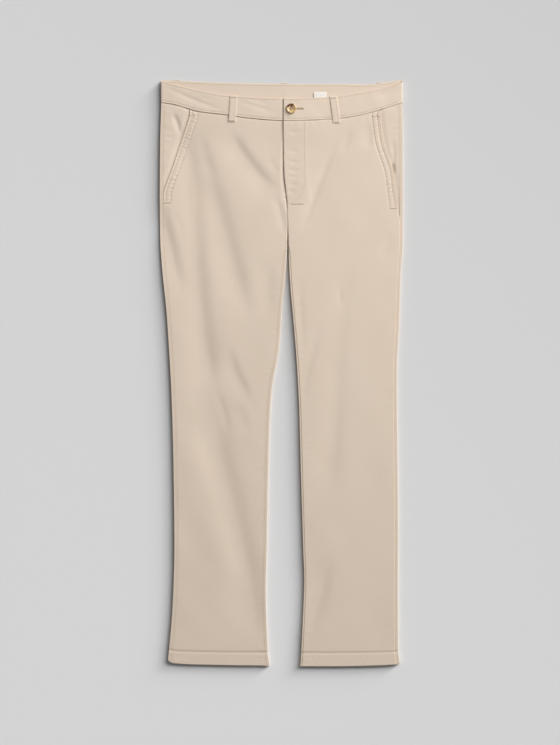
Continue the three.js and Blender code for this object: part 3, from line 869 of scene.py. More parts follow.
@dataclass(frozen=True)
class HornButton:
    """Polyester cast to look like horn: blond and brown clouds under a polished face.

    Attributes:
        name: The material's name.
        blond: Pale clouds.
        brown: Middle shade.
        dark: Streaks.
    """

    name: str = "mottled horn button"
    blond: str = "#d3b27f"
    brown: str = "#6b4426"
    dark: str = "#36200f"

    def build(self) -> bpy.types.Material:
        """Make the material."""
        f = Finish(self.name)
        place = f.place()
        clouds = f.pattern("ShaderNodeTexNoise", place, Scale=95.0, Detail=2.0, Distortion=0.7)
        streaks = f.pattern("ShaderNodeTexNoise", place, Scale=420.0, Detail=5.0, Distortion=2.5)
        ramp = f.add("ShaderNodeValToRGB", {"Fac": clouds})
        stops = ramp.color_ramp.elements
        stops[0].position, stops[0].color = 0.38, linear(self.dark)
        stops[1].position, stops[1].color = 0.56, linear(self.blond)
        stops.new(0.46).color = linear(self.brown)
        tone = f.blend(f.ranged(streaks, (0.0, 0.6), (0.55, 0.7)), ramp.outputs["Color"], self.dark)
        f.set(Base_Color=tone, Roughness=f.ranged(streaks, (0.2, 0.42)), IOR=1.54, Coat_Weight=0.25)
        return f.material


@dataclass(frozen=True)
class WovenTape:
    """Narrow woven tape or satin: straight ribs across, a soft gleam.

    Attributes:
        name: The material's name.
        colour: Face of the ribs.
        shade: Between the ribs.
        rib: Distance between ribs in metres.
        roughness: How dull it is.
    """

    name: str
    colour: str
    shade: str
    rib: float
    roughness: float

    def build(self) -> bpy.types.Material:
        """Make the material."""
        f = Finish(self.name)
        place = f.place()
        ribs = f.pattern("ShaderNodeTexWave", place, Scale=WAVE_TO_RIB / self.rib, Distortion=0.4)
        grain = f.pattern("ShaderNodeTexNoise", place, Scale=700.0, Detail=2.0)
        rough = f.ranged(grain, (self.roughness - 0.08, self.roughness + 0.08))
        f.set(
            Base_Color=f.blend(ribs, self.shade, self.colour), Roughness=rough, IOR=1.5,
            Normal=f.bump(ribs, 0.25, 0.00015), Sheen_Weight=0.1,
        )
        return f.material


# The softbox over the waist lights the floor less towards the hems, as in a real studio.
SOFTBOX = Vector((0.75, 0.95, 1.45))
SOFTBOX_SHARE = 1.8


@dataclass(frozen=True)
class ShadePaintedFloor:
    """Smooth pale grey studio paper, matt, its colour paler away from the softbox and darker by painted shade
    where the softbox lights it, so that it reads evenly.

    Attributes:
        name: The material's name.
        pale: Shade where only the room lights it.
    """

    name: str = "graded studio paper"
    pale: str = "#ebebeb"

    def build(self) -> bpy.types.Material:
        """Make the material."""
        f = Finish(self.name)
        place = f.place()
        grain = f.pattern("ShaderNodeTexNoise", place, Scale=60.0, Detail=3.0)
        # Painted shade: the colour darkens as the softbox comes near, to cancel the pool of light that it
        # throws on the floor.
        away = f.add("ShaderNodeVectorMath", {0: place, 1: tuple(SOFTBOX)}, operation="DISTANCE")
        fall = f.sum("POWER", away.outputs["Value"], -3.0)
        share = f.sum("DIVIDE", 1.0, f.sum("MULTIPLY_ADD", fall, SOFTBOX_SHARE * SOFTBOX.z, 1.0))
        f.set(
            Base_Color=f.blend(share, "#000000", self.pale), Roughness=f.ranged(grain, (0.88, 0.96)),
            Specular_IOR_Level=0.0,
        )
        return f.material


@dataclass
class Wardrobe:
    """The finishes, each made once."""

    twill: bpy.types.Material = field(default_factory=lambda: CottonTwill().build())
    thread: bpy.types.Material = field(default_factory=lambda: SewingThread().build())
    horn: bpy.types.Material = field(default_factory=lambda: HornButton().build())
    satin: bpy.types.Material = field(
        default_factory=lambda: WovenTape("white woven satin", "#e9e5df", "#dad5cc", 0.0006, 0.45).build()
    )
    zip_tape: bpy.types.Material = field(
        default_factory=lambda: WovenTape("woven zip tape", "#cdb99f", "#b6a187", 0.0008, 0.8).build()
    )


def half_round(radius: float, steps: int = 6) -> tuple[Array, Array]:
    """Offsets from an edge and depths of a fold, from its under side round to its face.

    Args:
        radius: Radius of the fold.
        steps: Number of steps round it.

    Returns:
        Distances in from the edge, and depths under the face.
    """
    angle = np.linspace(math.pi, 0, steps + 1)
    return radius - radius * np.sin(angle), radius - radius * np.cos(angle)


def pucker(distance: Array, along: Array, pitch: float, height: float, width: float, seed: int) -> Array:
    """Small gathers that a seam draws into the cloth beside it.

    Args:
        distance: Distance from the seam.
        along: Place along it.
        pitch: Distance between gathers.
        height: Their height.
        width: How far from the seam they reach.
        seed: Fixes their unevenness.

    Returns:
        Height to add.
    """
    rng = np.random.default_rng(seed)
    drift = sum(np.sin(2 * math.pi * along / (pitch * k) + rng.uniform(0, 6.3)) for k in (2.7, 4.3, 7.1))
    strength = 0.6 + 0.4 * np.sin(2 * math.pi * along / (pitch * 9.3) + rng.uniform(0, 6.3))
    waves = np.sin(2 * math.pi * along / pitch + 1.1 * drift)
    return height * strength * waves * bell(distance, width)


@dataclass
class Leg:
    """One leg: its front, its back rolled round both edges, and its pocket facing.

    Attributes:
        cut: The leg's outline.
        fine: Step of rows and columns beside seams.
        coarse: Step of rows elsewhere.
        middle: Number of columns across the middle of the front.
        under: Number of columns across the underside of the back.
        pocket_stitches: Distances of the two topstitch rows from the pocket opening.
        groove_width: Width of the grooves that those rows draw in.
        dents: Dents in the pocket facings.
        top_pieces: The front, back and facing, once they are made.
    """

    cut: LegCut
    fine: float = 1.6
    coarse: float = 3.6
    middle: int = 44
    under: int = 26
    pocket_stitches: tuple[float, float] = (4.6, 13.7)
    groove_width: float = 1.5
    dents: tuple[Crease, ...] = (
        Crease(-2.0, 3.0, ((203.5, 388), (205.5, 377), (206.5, 364)), 1.0),
        Crease(-0.6, 5.0, ((204, 437), (208, 400), (207, 372)), 0.6),
        Crease(-1.4, 6.0, ((-196, 483), (-187, 462), (-184, 440)), 0.6),
        Crease(-0.9, 2.5, ((-210, 332), (-213, 322)), 1.0),
    )
    top_pieces: list[bpy.types.Object] = field(default_factory=list)

    @property
    def name(self) -> str:
        """The side's name, in lower case."""
        return self.cut.side.name.lower()

    def rows(self) -> list[tuple[float, float]]:
        """Levels from the turned-up hem to the waist seam.

        Returns:
            A level and a depth for each row.
        """
        inside = np.linspace(HEM_HEIGHT - 1, HEM_FOLD, 6)[:-1]
        offset, depth = half_round(HEM_FOLD)
        hem = [(HEM_Y + y, 2 * HEM_FOLD) for y in inside] + [(HEM_Y + o, d) for o, d in zip(offset, depth)]
        low, high = HEM_Y + HEM_HEIGHT + 8, self.cut.pocket_foot - 12
        near_hem = np.arange(HEM_Y + HEM_FOLD + self.fine, low, self.fine)
        middle = np.arange(low, high, self.coarse)
        upper = np.arange(high, WAIST_Y + 3.2, self.fine)
        return hem + [(y, 0.0) for y in np.concatenate([[HEM_Y + HEM_FOLD + 0.15], near_hem, middle, upper])]

    @staticmethod
    def seam_dip(y: float) -> float:
        """Depth that the cloth sinks as it runs under the waistband."""
        return 1.1 * float(bell(min(0.0, y - WAIST_Y), 1.5))

    @staticmethod
    def hem_wear_and_shade(y: float) -> float:
        """Wear and painted shade at the hem: rubbed pale at its fold, paler just under its stitching, and
        painted shade just over the stitching.
        """
        over = y - HEM_Y - HEM_HEIGHT
        return float(0.4 * bell(y - HEM_Y, 2.0) + 0.5 * bell(over + 1.6, 1.6) - 0.3 * bell(over - 1.2, 1.2))

    @staticmethod
    def hem_groove(y: float) -> float:
        """Depth that the hem's stitching draws the cloth in."""
        return 0.55 * float(bell(y - HEM_Y - HEM_HEIGHT, 1.4))

    def edge_columns(self, reach: float, fold: float = SEAM_FOLD, step: float = 1.6) -> tuple[Array, Array]:
        """Columns beside a seam: the turned-in flap, its fold, and fine steps on the face.

        Args:
            reach: How far in from the seam the fine steps go.
            fold: Radius of the fold.
            step: Size of the fine steps.

        Returns:
            Distances in from the seam, and depths.
        """
        offset, depth = half_round(fold)
        fine = mix(fold, reach, np.arange(1, int(reach / step)) * step / reach)
        face = np.concatenate([[fold + BESIDE_FOLD], fine])
        return np.concatenate([[FLAP], offset, face]), np.concatenate([[2 * fold], depth, 0 * face])

    def front_span(self, level: Level) -> tuple[float, float]:
        """Arc places where the front starts and ends at a level."""
        if not level.above:
            start = level.inseam + SEAM_GAP / 2
        elif level.sign < 0 and level.y > FLY_END_Y + 1:
            start = -UNDERLAP * float(smooth((level.y - FLY_END_Y - 1) / 24))
        else:
            start = -level.turn * level.radius
        end = level.width - OUTSEAM_INSET - SEAM_GAP / 2
        if level.y > self.cut.pocket_foot - 10:
            end = min(end, abs(float(self.cut.pocket(level.y)) - level.inner))
        return start, end - level.roll_depth

    def front(self) -> tuple[bpy.types.Object, Array]:
        """Build the front panel.

        Returns:
            The panel and its grid of points.
        """
        start_reach = 44.0 if self.cut.side is Side.LEFT else 18.0
        grid, wear_and_painted_shade = [], []
        for y, row_depth in self.rows():
            level = Level(self.cut, min(y, WAIST_Y + 4))
            start, end = self.front_span(level)
            at_pocket = float(smooth((y - self.cut.pocket_foot) / 12))
            at_fly = float(smooth((y - FLY_END_Y) / 12))
            start_off, start_depth = self.edge_columns(start_reach, mix(SEAM_FOLD, FREE_FOLD, at_fly))
            end_off, end_depth = self.edge_columns(20.0, mix(SEAM_FOLD, FREE_FOLD, at_pocket), 0.9)
            inner = np.linspace(start + start_reach, end - 20.0, self.middle)
            place = np.concatenate([start + start_off, inner, (end - end_off)[::-1]])
            depth = np.concatenate([start_depth, 0 * inner, end_depth[::-1]])
            from_start, from_end = place - start, end - place
            drawn = 0.15 + 0.5 * math.sin(math.pi * y / ROPE_PITCH + math.sin(y / 23.0)) ** 2
            grooves = sum(drawn * bell(from_end - d, self.groove_width) for d in self.pocket_stitches)
            sink = np.maximum(depth, row_depth) + self.seam_dip(y) + self.hem_groove(y) + at_pocket * grooves
            lift = self.gathers(y, from_start, from_end, at_pocket)
            section = level.front_points(place)
            grid.append(level.place(section, sink, lift * (depth == 0), at_fly=True))
            # Painted shade: the colour darkens in the folds beside the seams, the pocket opening and the fly,
            # and along the waist seam just under the band.
            folded = np.minimum(from_start, from_end) < AT_FOLD
            opened = np.where(from_end < from_start, at_pocket, 0.5 * at_fly)
            painted_shade = mix(PAINTED_SHADE_SEAM, PAINTED_SHADE_OPENING, opened) * folded
            wear_and_painted_shade.append(self.hem_wear_and_shade(y) - painted_shade - float(smooth((y - WAIST_Y + 4) / 4)) * PAINTED_SHADE_BAND)
        points = np.array(grid)
        name = f"front_panel_{self.name}"
        return ClothMesh.build(name, points, np.array(wear_and_painted_shade), Vector((0, 0, 1))), points

    def gathers(self, y: float, from_start: Array, from_end: Array, at_pocket: float) -> Array:
        """Gathers beside the front's seams, topstitching and hem.

        Args:
            y: The level.
            from_start: Distance of each column from the fly or inseam.
            from_end: Distance of each column from the outseam or pocket opening.
            at_pocket: Share of pocket opening at this level.

        Returns:
            Height to add to each column.
        """
        seed = 40 + self.cut.side.value
        level = np.full_like(from_start, y)
        inseam = pucker(from_start - 8, level, pitch=9, height=0.2, width=6, seed=seed)
        outseam = pucker(from_end - 4, level, pitch=15, height=0.08, width=8, seed=seed + 5)
        slanted = y + 0.25 * from_end
        opening = pucker(from_end - 9, slanted, pitch=ROPE_PITCH, height=0.2, width=5, seed=seed + 9)
        across = from_start + 1000
        hem = pucker(level - HEM_Y - 13, across + 0.8 * y, pitch=11, height=0.08, width=9, seed=seed + 13)
        waist = pucker(WAIST_Y - 7 - level, across, pitch=14, height=0.12, width=8, seed=seed + 17)
        below_fly = 1 - float(smooth((y - CROTCH_Y + 20) / 20))
        return inseam * below_fly + mix(outseam, opening, at_pocket) + hem + waist

    def back(self) -> tuple[bpy.types.Object, Array]:
        """Build the back panel, rolled round both edges up to the seams on the front face.

        Returns:
            The panel and its grid of points.
        """
        edge_off, edge_depth = self.edge_columns(2.6)
        roll = np.linspace(0, math.pi, 13)
        far = 90.0
        grid, wear_and_painted_shade = [], []
        for y, row_depth in self.rows():
            level = Level(self.cut, min(y, WAIST_Y + 4))
            radius = level.radius
            lip = np.append(OUTSEAM_INSET - SEAM_GAP / 2 - edge_off, EDGE_CRISP * radius + 0.3)
            lip_points = level.flat(level.width - lip, up=True)
            if level.above:
                end = level.turn * radius
            else:
                end = math.pi * radius + level.inseam - SEAM_GAP / 2
            flat = np.linspace(EDGE_CRISP * radius + level.roll_depth - level.width, -16.0, self.under)[1:]
            stop = end - 2.6
            roll_start, roll_end = min(0.0, stop - 1.0), min(math.pi * radius, stop - 0.5)
            lead = np.linspace(-14.0, roll_start - 0.3, 4)
            tail = mix(roll_end, stop, np.array([0.12, 0.56, 1.0]))
            turned = np.concatenate([lead, np.linspace(roll_start, roll_end, 13), tail])
            place = np.concatenate([flat, turned, (end - edge_off)[::-1]])
            parts = [lip_points, level.outer_roll(roll), level.back_points(place)]
            depth = np.concatenate([edge_depth, [0.0], 0 * roll, 0 * flat, 0 * turned, edge_depth[::-1]])
            section = Section.joined(parts)
            sink = np.maximum(depth, row_depth) + self.seam_dip(y) + self.hem_groove(y) * section.front
            beside = [edge_off, [FLAP], FLAP + radius * roll, far + 0 * flat, end - place[len(flat):]]
            beside = np.concatenate(beside)
            along = np.full_like(beside, y)
            gathers = pucker(beside - 3, along, pitch=14, height=0.08, width=6, seed=60 + level.sign)
            lift = gathers * (depth == 0)
            grid.append(level.place(section, sink, lift))
            # Painted shade: the colour darkens in the folds beside the seams and round the rolled edges,
            # toning down the light that the rolls catch.
            on_roll = (beside >= FLAP) & (beside < far) & (section.front > 0.02) & (section.front < 0.98)
            wear_and_painted_shade.append(self.hem_wear_and_shade(y) - PAINTED_SHADE_SEAM * (beside < AT_FOLD) - PAINTED_SHADE_EDGE * on_roll)
        points = np.array(grid)
        return ClothMesh.build(f"back_panel_{self.name}", points, np.array(wear_and_painted_shade), Vector((0, 0, -1))), points

    def facing(self) -> tuple[bpy.types.Object, Array]:
        """Build the facing that shows inside the slanted pocket opening.

        Returns:
            The facing and its grid of points.
        """
        foot = self.cut.pocket_foot
        edge_off, edge_depth = self.edge_columns(2.6)
        grid, wear_and_painted_shade = [], []
        for y in np.arange(foot - 14, WAIST_Y + 3, 2.4):
            level = Level(self.cut, float(y))
            end = level.width - OUTSEAM_INSET - SEAM_GAP / 2
            opening = min(abs(float(self.cut.pocket(y)) - level.inner), end)
            inner = np.linspace(opening - 20, end - 2.6, 24)
            across = np.concatenate([inner, (end - edge_off)[::-1]])
            depth = np.concatenate([0 * inner, edge_depth[::-1]])
            rise = smooth((across - opening - 1) / 10) if y > foot else 0 * across
            sunk = -(SHELL + 0.25) * (1 - rise)
            along = np.full_like(across, y)
            soft = pucker(across - end + 6, along, pitch=19, height=0.16, width=10, seed=70 + level.sign)
            x_here = level.inner + level.sign * across
            soft = soft + sum(dent.lift(x_here, np.full_like(x_here, y)) for dent in self.dents)
            sink = depth + self.seam_dip(float(y))
            grid.append(level.place(level.flat(across, up=True), sink, sunk + soft * (depth == 0)))
            wear_and_painted_shade.append(0 * across)
        points = np.array(grid)
        name = f"pocket_facing_{self.name}_cloth"
        return ClothMesh.build(name, points, np.array(wear_and_painted_shade), Vector((0, 0, 1))), points

    def dress(self, wardrobe: Wardrobe) -> None:
        """Build the leg's three pieces and finish them.

        Args:
            wardrobe: The finishes.
        """
        for node, make in (("front", self.front), ("back", self.back), ("pocket_facing", self.facing)):
            piece, grid = make()
            Tools.finish(piece, wardrobe.twill, "cotton_twill", f"{node}_{self.name}")
            under = () if node == "back" else (f"back_{self.name}",)
            declare_sheet(piece, grid, *under)
            self.top_pieces.append(piece)


def declare_sheet(piece: bpy.types.Object, grid: Array, *under: str) -> None:
    """Work out the flat width, length and area that a cloth piece was cut to, without keeping them.

    Args:
        piece: The piece; not used.
        grid: Its grid of points, rows along its length.
        under: Names of what it lies on; not used.
    """
    width = np.linalg.norm(np.diff(grid, axis=1), axis=2).sum(axis=1).max() * MM
    length = np.linalg.norm(np.diff(grid, axis=0), axis=2).sum(axis=0).max() * MM
    area = min(ClothMesh.area(grid), width * length)


def band_top(side: Side, x: Array) -> Array:
    """Top of the waistband's front, raised where it laps over and lowered where it lies under."""
    if side is Side.LEFT:
        return BAND_TOP + FLY_RISE_AT_BAND * closure(x, WAIST_Y)
    return BAND_TOP - BAND_UNDERLAP_DROP * smooth((x - CENTRE_X + FLY_STEP) / FLY_STEP)


@dataclass
class Waistband:
    """The doubled band in two halves, folded over at its upper edge.

    Attributes:
        fold: Radius of the upper fold.
        lower_fold: Radius of the turned-in lower edge.
        step: Step of its columns.
        underlap: How far the right half runs on under the left.
        edge_inset: How far its side fold stands out past the legs'.
        stitched: Distance of the topstitching from the seam and from the upper edge.
        creases: Drag lines in its face.
    """

    fold: float = 0.85
    lower_fold: float = 0.4
    step: float = 3.4
    underlap: float = 34.0
    edge_inset: float = 0.35
    stitched: float = 3.2
    creases: tuple[Crease, ...] = (
        Crease(-0.55, 5, ((-214, 527), (-168, 505), (-132, 491), (-98, 478))),
        Crease(-0.4, 4, ((-80, 499), (-40, 487), (-6, 477))),
        Crease(-0.3, 4, ((-66, 503), (-20, 494))),
        Crease(-0.5, 6, ((218, 524), (192, 512), (170, 506))),
        Crease(-0.3, 5, ((-150, 508), (-120, 497))),
    )

    def rows(self) -> list[tuple[float, float, float]]:
        """Rows across the band: share of its height, offset in millimetres and depth.

        Returns:
            The three values for each row, from the turned-in lower edge over the top to the inside.
        """
        low_off, low_depth = half_round(self.lower_fold)
        lower = [(0.0, 4.0, 2 * self.lower_fold)] + [(0.0, o, d) for o, d in zip(low_off, low_depth)]
        beside = (1.0, 1.3, 1.9, 2.4, 2.8, 3.2, 3.6, 4.0, 4.5, 5.2)
        face = [(0.0, o, 0.0) for o in beside]
        face += [(share, 0.0, 0.0) for share in np.linspace(0.18, 0.82, 16)]
        face += [(1.0, -o, 0.0) for o in reversed(beside)]
        top_off, top_depth = half_round(self.fold)
        upper = [(1.0, -o, d) for o, d in zip(top_off[::-1], top_depth[::-1])]
        inside = [(share, 0.0, 2 * self.fold) for share in np.linspace(0.9, 0.12, 10)]
        return lower + face + upper + inside

    def path(self, leg: LegCut) -> dict[str, Array]:
        """Columns round the band, from its front end round the side to the centre back.

        Args:
            leg: The leg on this side.

        Returns:
            Arrays of x, z, outward directions, front share and distance from the front end.
        """
        sign = leg.side.value
        radius = (BAND_TOP - BAND_BOTTOM) / 2
        reach = EDGE_CRISP * radius
        turn_x = float(leg.outer(WAIST_Y)) + sign * (self.edge_inset - reach)
        start = CENTRE_X if sign > 0 else CENTRE_X + self.underlap
        end = CENTRE_X + sign * SEAM_GAP / 2
        count = int(abs(turn_x - start) / self.step)
        near = start + sign * np.array([0.0, 0.15, 0.4, 0.9, 1.8])
        front_x = np.concatenate([near, np.linspace(start + sign * 3.4, turn_x, count)[:-1]])
        angle = np.linspace(0, math.pi, 13)
        back_x = np.linspace(turn_x, end, count)[1:]
        zero_b = np.zeros_like(back_x)
        low_b = BAND_BOTTOM + zero_b
        gap = np.abs(front_x - start)
        droop = np.where(gap < 0.9, 0.7 * (1 - np.sqrt(clamp01(1 - (1 - gap / 0.9) ** 2))), 0)
        share = (1 + np.cos(angle)) / 2
        return {
            "x": np.concatenate([front_x, turn_x + sign * reach * np.sin(angle), back_x]),
            "z": np.concatenate([band_top(leg.side, front_x), BAND_BOTTOM + 2 * radius * share, low_b]),
            "out_x": np.concatenate([0 * front_x, np.sin(angle), zero_b]) * sign,
            "out_z": np.concatenate([1 + 0 * front_x, np.cos(angle), zero_b - 1]),
            "front": np.concatenate([1 + 0 * front_x, share, zero_b]),
            "droop": np.concatenate([droop, 0 * angle, zero_b]),
        }

    def half(self, leg: LegCut) -> tuple[bpy.types.Object, Array]:
        """Build one half.

        Args:
            leg: The leg on this side.

        Returns:
            The band and its grid of points.
        """
        p = self.path(leg)
        low = mix(BACK_SEAM_Y, FRONT_SEAM(p["x"]), p["front"])
        high = mix(BACK_TOP(p["x"]), FRONT_TOP(p["x"]), p["front"])
        uneven = Ripples(0.16, 30, 60, 21 + leg.side.value)
        grid, wear_and_painted_shade = [], []
        for share, offset, depth in self.rows():
            y = mix(low, high, share) + offset
            from_top, from_low = high - y, y - low
            seam = 0.32 * bell(from_low - self.stitched, 0.9) + 0.22 * bell(from_top - self.stitched, 0.9)
            gathers = pucker(from_low - 3, p["x"], pitch=13, height=0.1, width=7, seed=81)
            gathers = gathers + pucker(from_top - 3, p["x"], pitch=15, height=0.08, width=6, seed=83)
            drag = sum(crease.lift(p["x"], y) for crease in self.creases) * p["front"]
            soft = (gathers + uneven.lift(p["x"], y)) * p["front"] + drag
            sink = depth + (seam - soft) * (depth < 1.5) + p["droop"]
            x = p["x"] - p["out_x"] * sink
            z = p["z"] - p["out_z"] * sink
            grid.append(np.stack([x, y, z], axis=1))
            # Painted shade: the colour darkens along the band's upper fold and its lower edge at the waist
            # seam.
            wear_and_painted_shade.append(-PAINTED_SHADE_EDGE * bell(from_top, 0.9) - PAINTED_SHADE_BAND * bell(from_low, 0.7))
        points = np.array(grid)
        name = f"waistband_{leg.side.name.lower()}_cloth"
        return ClothMesh.build(name, points, np.array(wear_and_painted_shade), self.outward(points)), points

    @staticmethod
    def outward(points: Array) -> Vector:
        """Direction that the grid's middle quad faces, read from which part of the band it is on."""
        rows, columns = points.shape[:2]
        middle = (rows - 1) * (columns - 1) // 2
        row, column = divmod(middle, columns - 1)
        centre_z = points[row, column, 2]
        return Vector((0, 0, 1 if centre_z > (BAND_TOP + BAND_BOTTOM) / 2 else -1))

    def dress(self, wardrobe: Wardrobe, hole: "Buttonhole") -> list[bpy.types.Object]:
        """Build both halves and cut the buttonhole.

        Args:
            wardrobe: The finishes.
            hole: The buttonhole.

        Returns:
            The two halves.
        """
        bands = []
        for leg in (RIGHT_LEG, LEFT_LEG):
            band, grid = self.half(leg)
            if leg.side is Side.LEFT:
                hole.cut(band)
            name = leg.side.name.lower()
            Tools.finish(band, wardrobe.twill, "cotton_twill", f"waistband_{name}")
            declare_sheet(band, grid, f"back_{name}")
            bands.append(band)
        return bands


@dataclass
class Buttonhole:
    """The worked hole in the lapped end of the band.

    Attributes:
        start: Its end under the button.
        end: Its outer end.
        y: Its level.
        width: Width of the slit.
    """

    start: float = 16.0
    end: float = 40.0
    y: float = 483.4
    width: float = 0.6

    def cut(self, band: bpy.types.Object) -> None:
        """Cut the slit through the band.

        Args:
            band: The left half of the waistband.
        """
        middle = (self.start + self.end) / 2
        bpy.ops.object.select_all(action="DESELECT")
        bpy.ops.mesh.primitive_cylinder_add(
            vertices=20, radius=self.width / 2 * MM, depth=0.02, location=(middle * MM, self.y * MM, 0.0125)
        )
        cutter = bpy.context.active_object
        half = (self.end - self.start - self.width) / 2 * MM
        bpy.ops.object.mode_set(mode="EDIT")
        shape = bmesh.from_edit_mesh(cutter.data)
        for vertex in shape.verts:
            vertex.select_set(vertex.co.x > 0)
        shape.select_flush_mode()
        bmesh.update_edit_mesh(cutter.data)
        bpy.ops.transform.translate(value=(half, 0, 0))
        bpy.ops.mesh.select_all(action="INVERT")
        bpy.ops.transform.translate(value=(-half, 0, 0))
        bpy.ops.object.mode_set(mode="OBJECT")
        Tools.carve(band, cutter)


class Surface:
    """Finds the upper face of pieces under a place in the plan."""

    def __init__(self, pieces: list[bpy.types.Object]) -> None:
        """Read the pieces' meshes."""
        self.trees = []
        for piece in pieces:
            shape = bmesh.new()
            shape.from_mesh(piece.data)
            self.trees.append(BVHTree.FromBMesh(shape))
            shape.free()

    def at(self, x: float, y: float) -> tuple[Vector, Vector] | None:
        """Highest point under a place.

        Args:
            x: Place across, in millimetres.
            y: Place along, in millimetres.

        Returns:
            The point in metres and its normal, or None where no cloth lies.
        """
        best = None
        for tree in self.trees:
            point, normal, _, _ = tree.ray_cast(Vector((x * MM, y * MM, 0.1)), Vector((0, 0, -1)))
            if point is not None and (best is None or point.z > best[0].z):
                best = (point, normal if normal.z > 0 else -normal)
        return best


@dataclass
class Stitches:
    """Sewing thread laid on the cloth, stitch by stitch, as one mesh.

    Attributes:
        name: The piece's name.
        radius: Thread radius.
        sides: Faces round a stitch.
        points: Corners of all stitches so far.
        faces: Their faces.
    """

    name: str
    radius: float = 0.3
    sides: int = 6
    points: list[Vector] = field(default_factory=list)
    faces: list[tuple[int, ...]] = field(default_factory=list)

    def stitch(self, a: Vector, b: Vector, normal: Vector, radius: float | None = None) -> None:
        """Add one stitch that dips into the cloth at both ends.

        Args:
            a: Where it comes up, in metres.
            b: Where it goes down.
            normal: Which way is up.
            radius: Its radius in millimetres, if not the usual one.
        """
        thick = (radius or self.radius) * MM
        along = (b - a).normalized()
        side = along.cross(normal).normalized()
        up = side.cross(along).normalized()
        # Each ring has its share of the length, its share of the thickness and its rise.
        rings = ((0.0, 0.35, -0.5), (0.18, 0.9, 0.25), (0.5, 1.0, 0.45), (0.82, 0.9, 0.25), (1.0, 0.35, -0.5))
        base = len(self.points)
        for share, size, lift in rings:
            centre = a.lerp(b, share) + up * thick * lift
            for k in range(self.sides):
                turn = 2 * math.pi * k / self.sides
                self.points.append(centre + (side * math.cos(turn) + up * math.sin(turn)) * thick * size)
        for ring in range(len(rings) - 1):
            for k in range(self.sides):
                here, there = base + ring * self.sides, base + (ring + 1) * self.sides
                after = (k + 1) % self.sides
                self.faces.append((here + k, here + after, there + after, there + k))
        self.faces.append(tuple(base + k for k in reversed(range(self.sides))))
        last = base + (len(rings) - 1) * self.sides
        self.faces.append(tuple(last + k for k in range(self.sides)))

    def row(
        self, path: list[tuple[float, float]], surface: Surface, length: float = 2.8, gap: float = 0.7
    ) -> None:
        """Sew one row of lockstitch along a path.

        Args:
            path: Points in the plan, in millimetres.
            surface: The cloth under it.
            length: Length of a stitch.
            gap: Space between stitches.
        """
        route = np.array(path, float)
        steps = np.concatenate([[0], np.cumsum(np.hypot(*np.diff(route, axis=0).T))])
        for start in np.arange(0, steps[-1] - length, length + gap):
            ends = [
                surface.at(*(float(np.interp(place, steps, route[:, k])) for k in (0, 1)))
                for place in (start, start + length)
            ]
            if None in ends or abs(ends[0][0].z - ends[1][0].z) > 1.2 * MM:
                continue
            self.stitch(ends[0][0], ends[1][0], ends[0][1])

    def bar(self, a: tuple[float, float], b: tuple[float, float], width: float, surface: Surface) -> None:
        """Sew a bartack: close stitches across a short line.

        Args:
            a: One end of the line, in millimetres.
            b: The other end.
            width: Width of the bar.
            surface: The cloth under it.
        """
        length = math.hypot(b[0] - a[0], b[1] - a[1])
        across = ((a[1] - b[1]) / length * width / 2, (b[0] - a[0]) / length * width / 2)
        for share in np.linspace(0, 1, max(3, int(length / 0.55))):
            x, y = mix(a[0], b[0], share), mix(a[1], b[1], share)
            found = surface.at(x, y)
            if found is None:
                continue
            point, normal = found
            reach = Vector((across[0], across[1], 0)) * MM
            self.stitch(point - reach, point + reach, normal, 0.34)

    def build(self, wardrobe: Wardrobe) -> bpy.types.Object:
        """Make the mesh.

        Args:
            wardrobe: The finishes.

        Returns:
            The piece.
        """
        mesh = bpy.data.meshes.new(self.name)
        mesh.from_pydata([tuple(p) for p in self.points], [], self.faces)
        mesh.shade_smooth()
        piece = Tools.link(self.name, mesh)
        Tools.finish(piece, wardrobe.thread, "thread")
        return piece


@dataclass(frozen=True)
class LoopCut:
    """One belt loop.

    Attributes:
        node: The CAD node's name.
        side: Which half of the band it is on.
        top: Its x at the upper end.
        bottom: Its x at the lower end.
        below: How far it runs on below the waist seam.
        behind: Whether it lies under the back of the band.
    """

    node: str
    side: Side
    top: float
    bottom: float
    below: float
    behind: bool = False


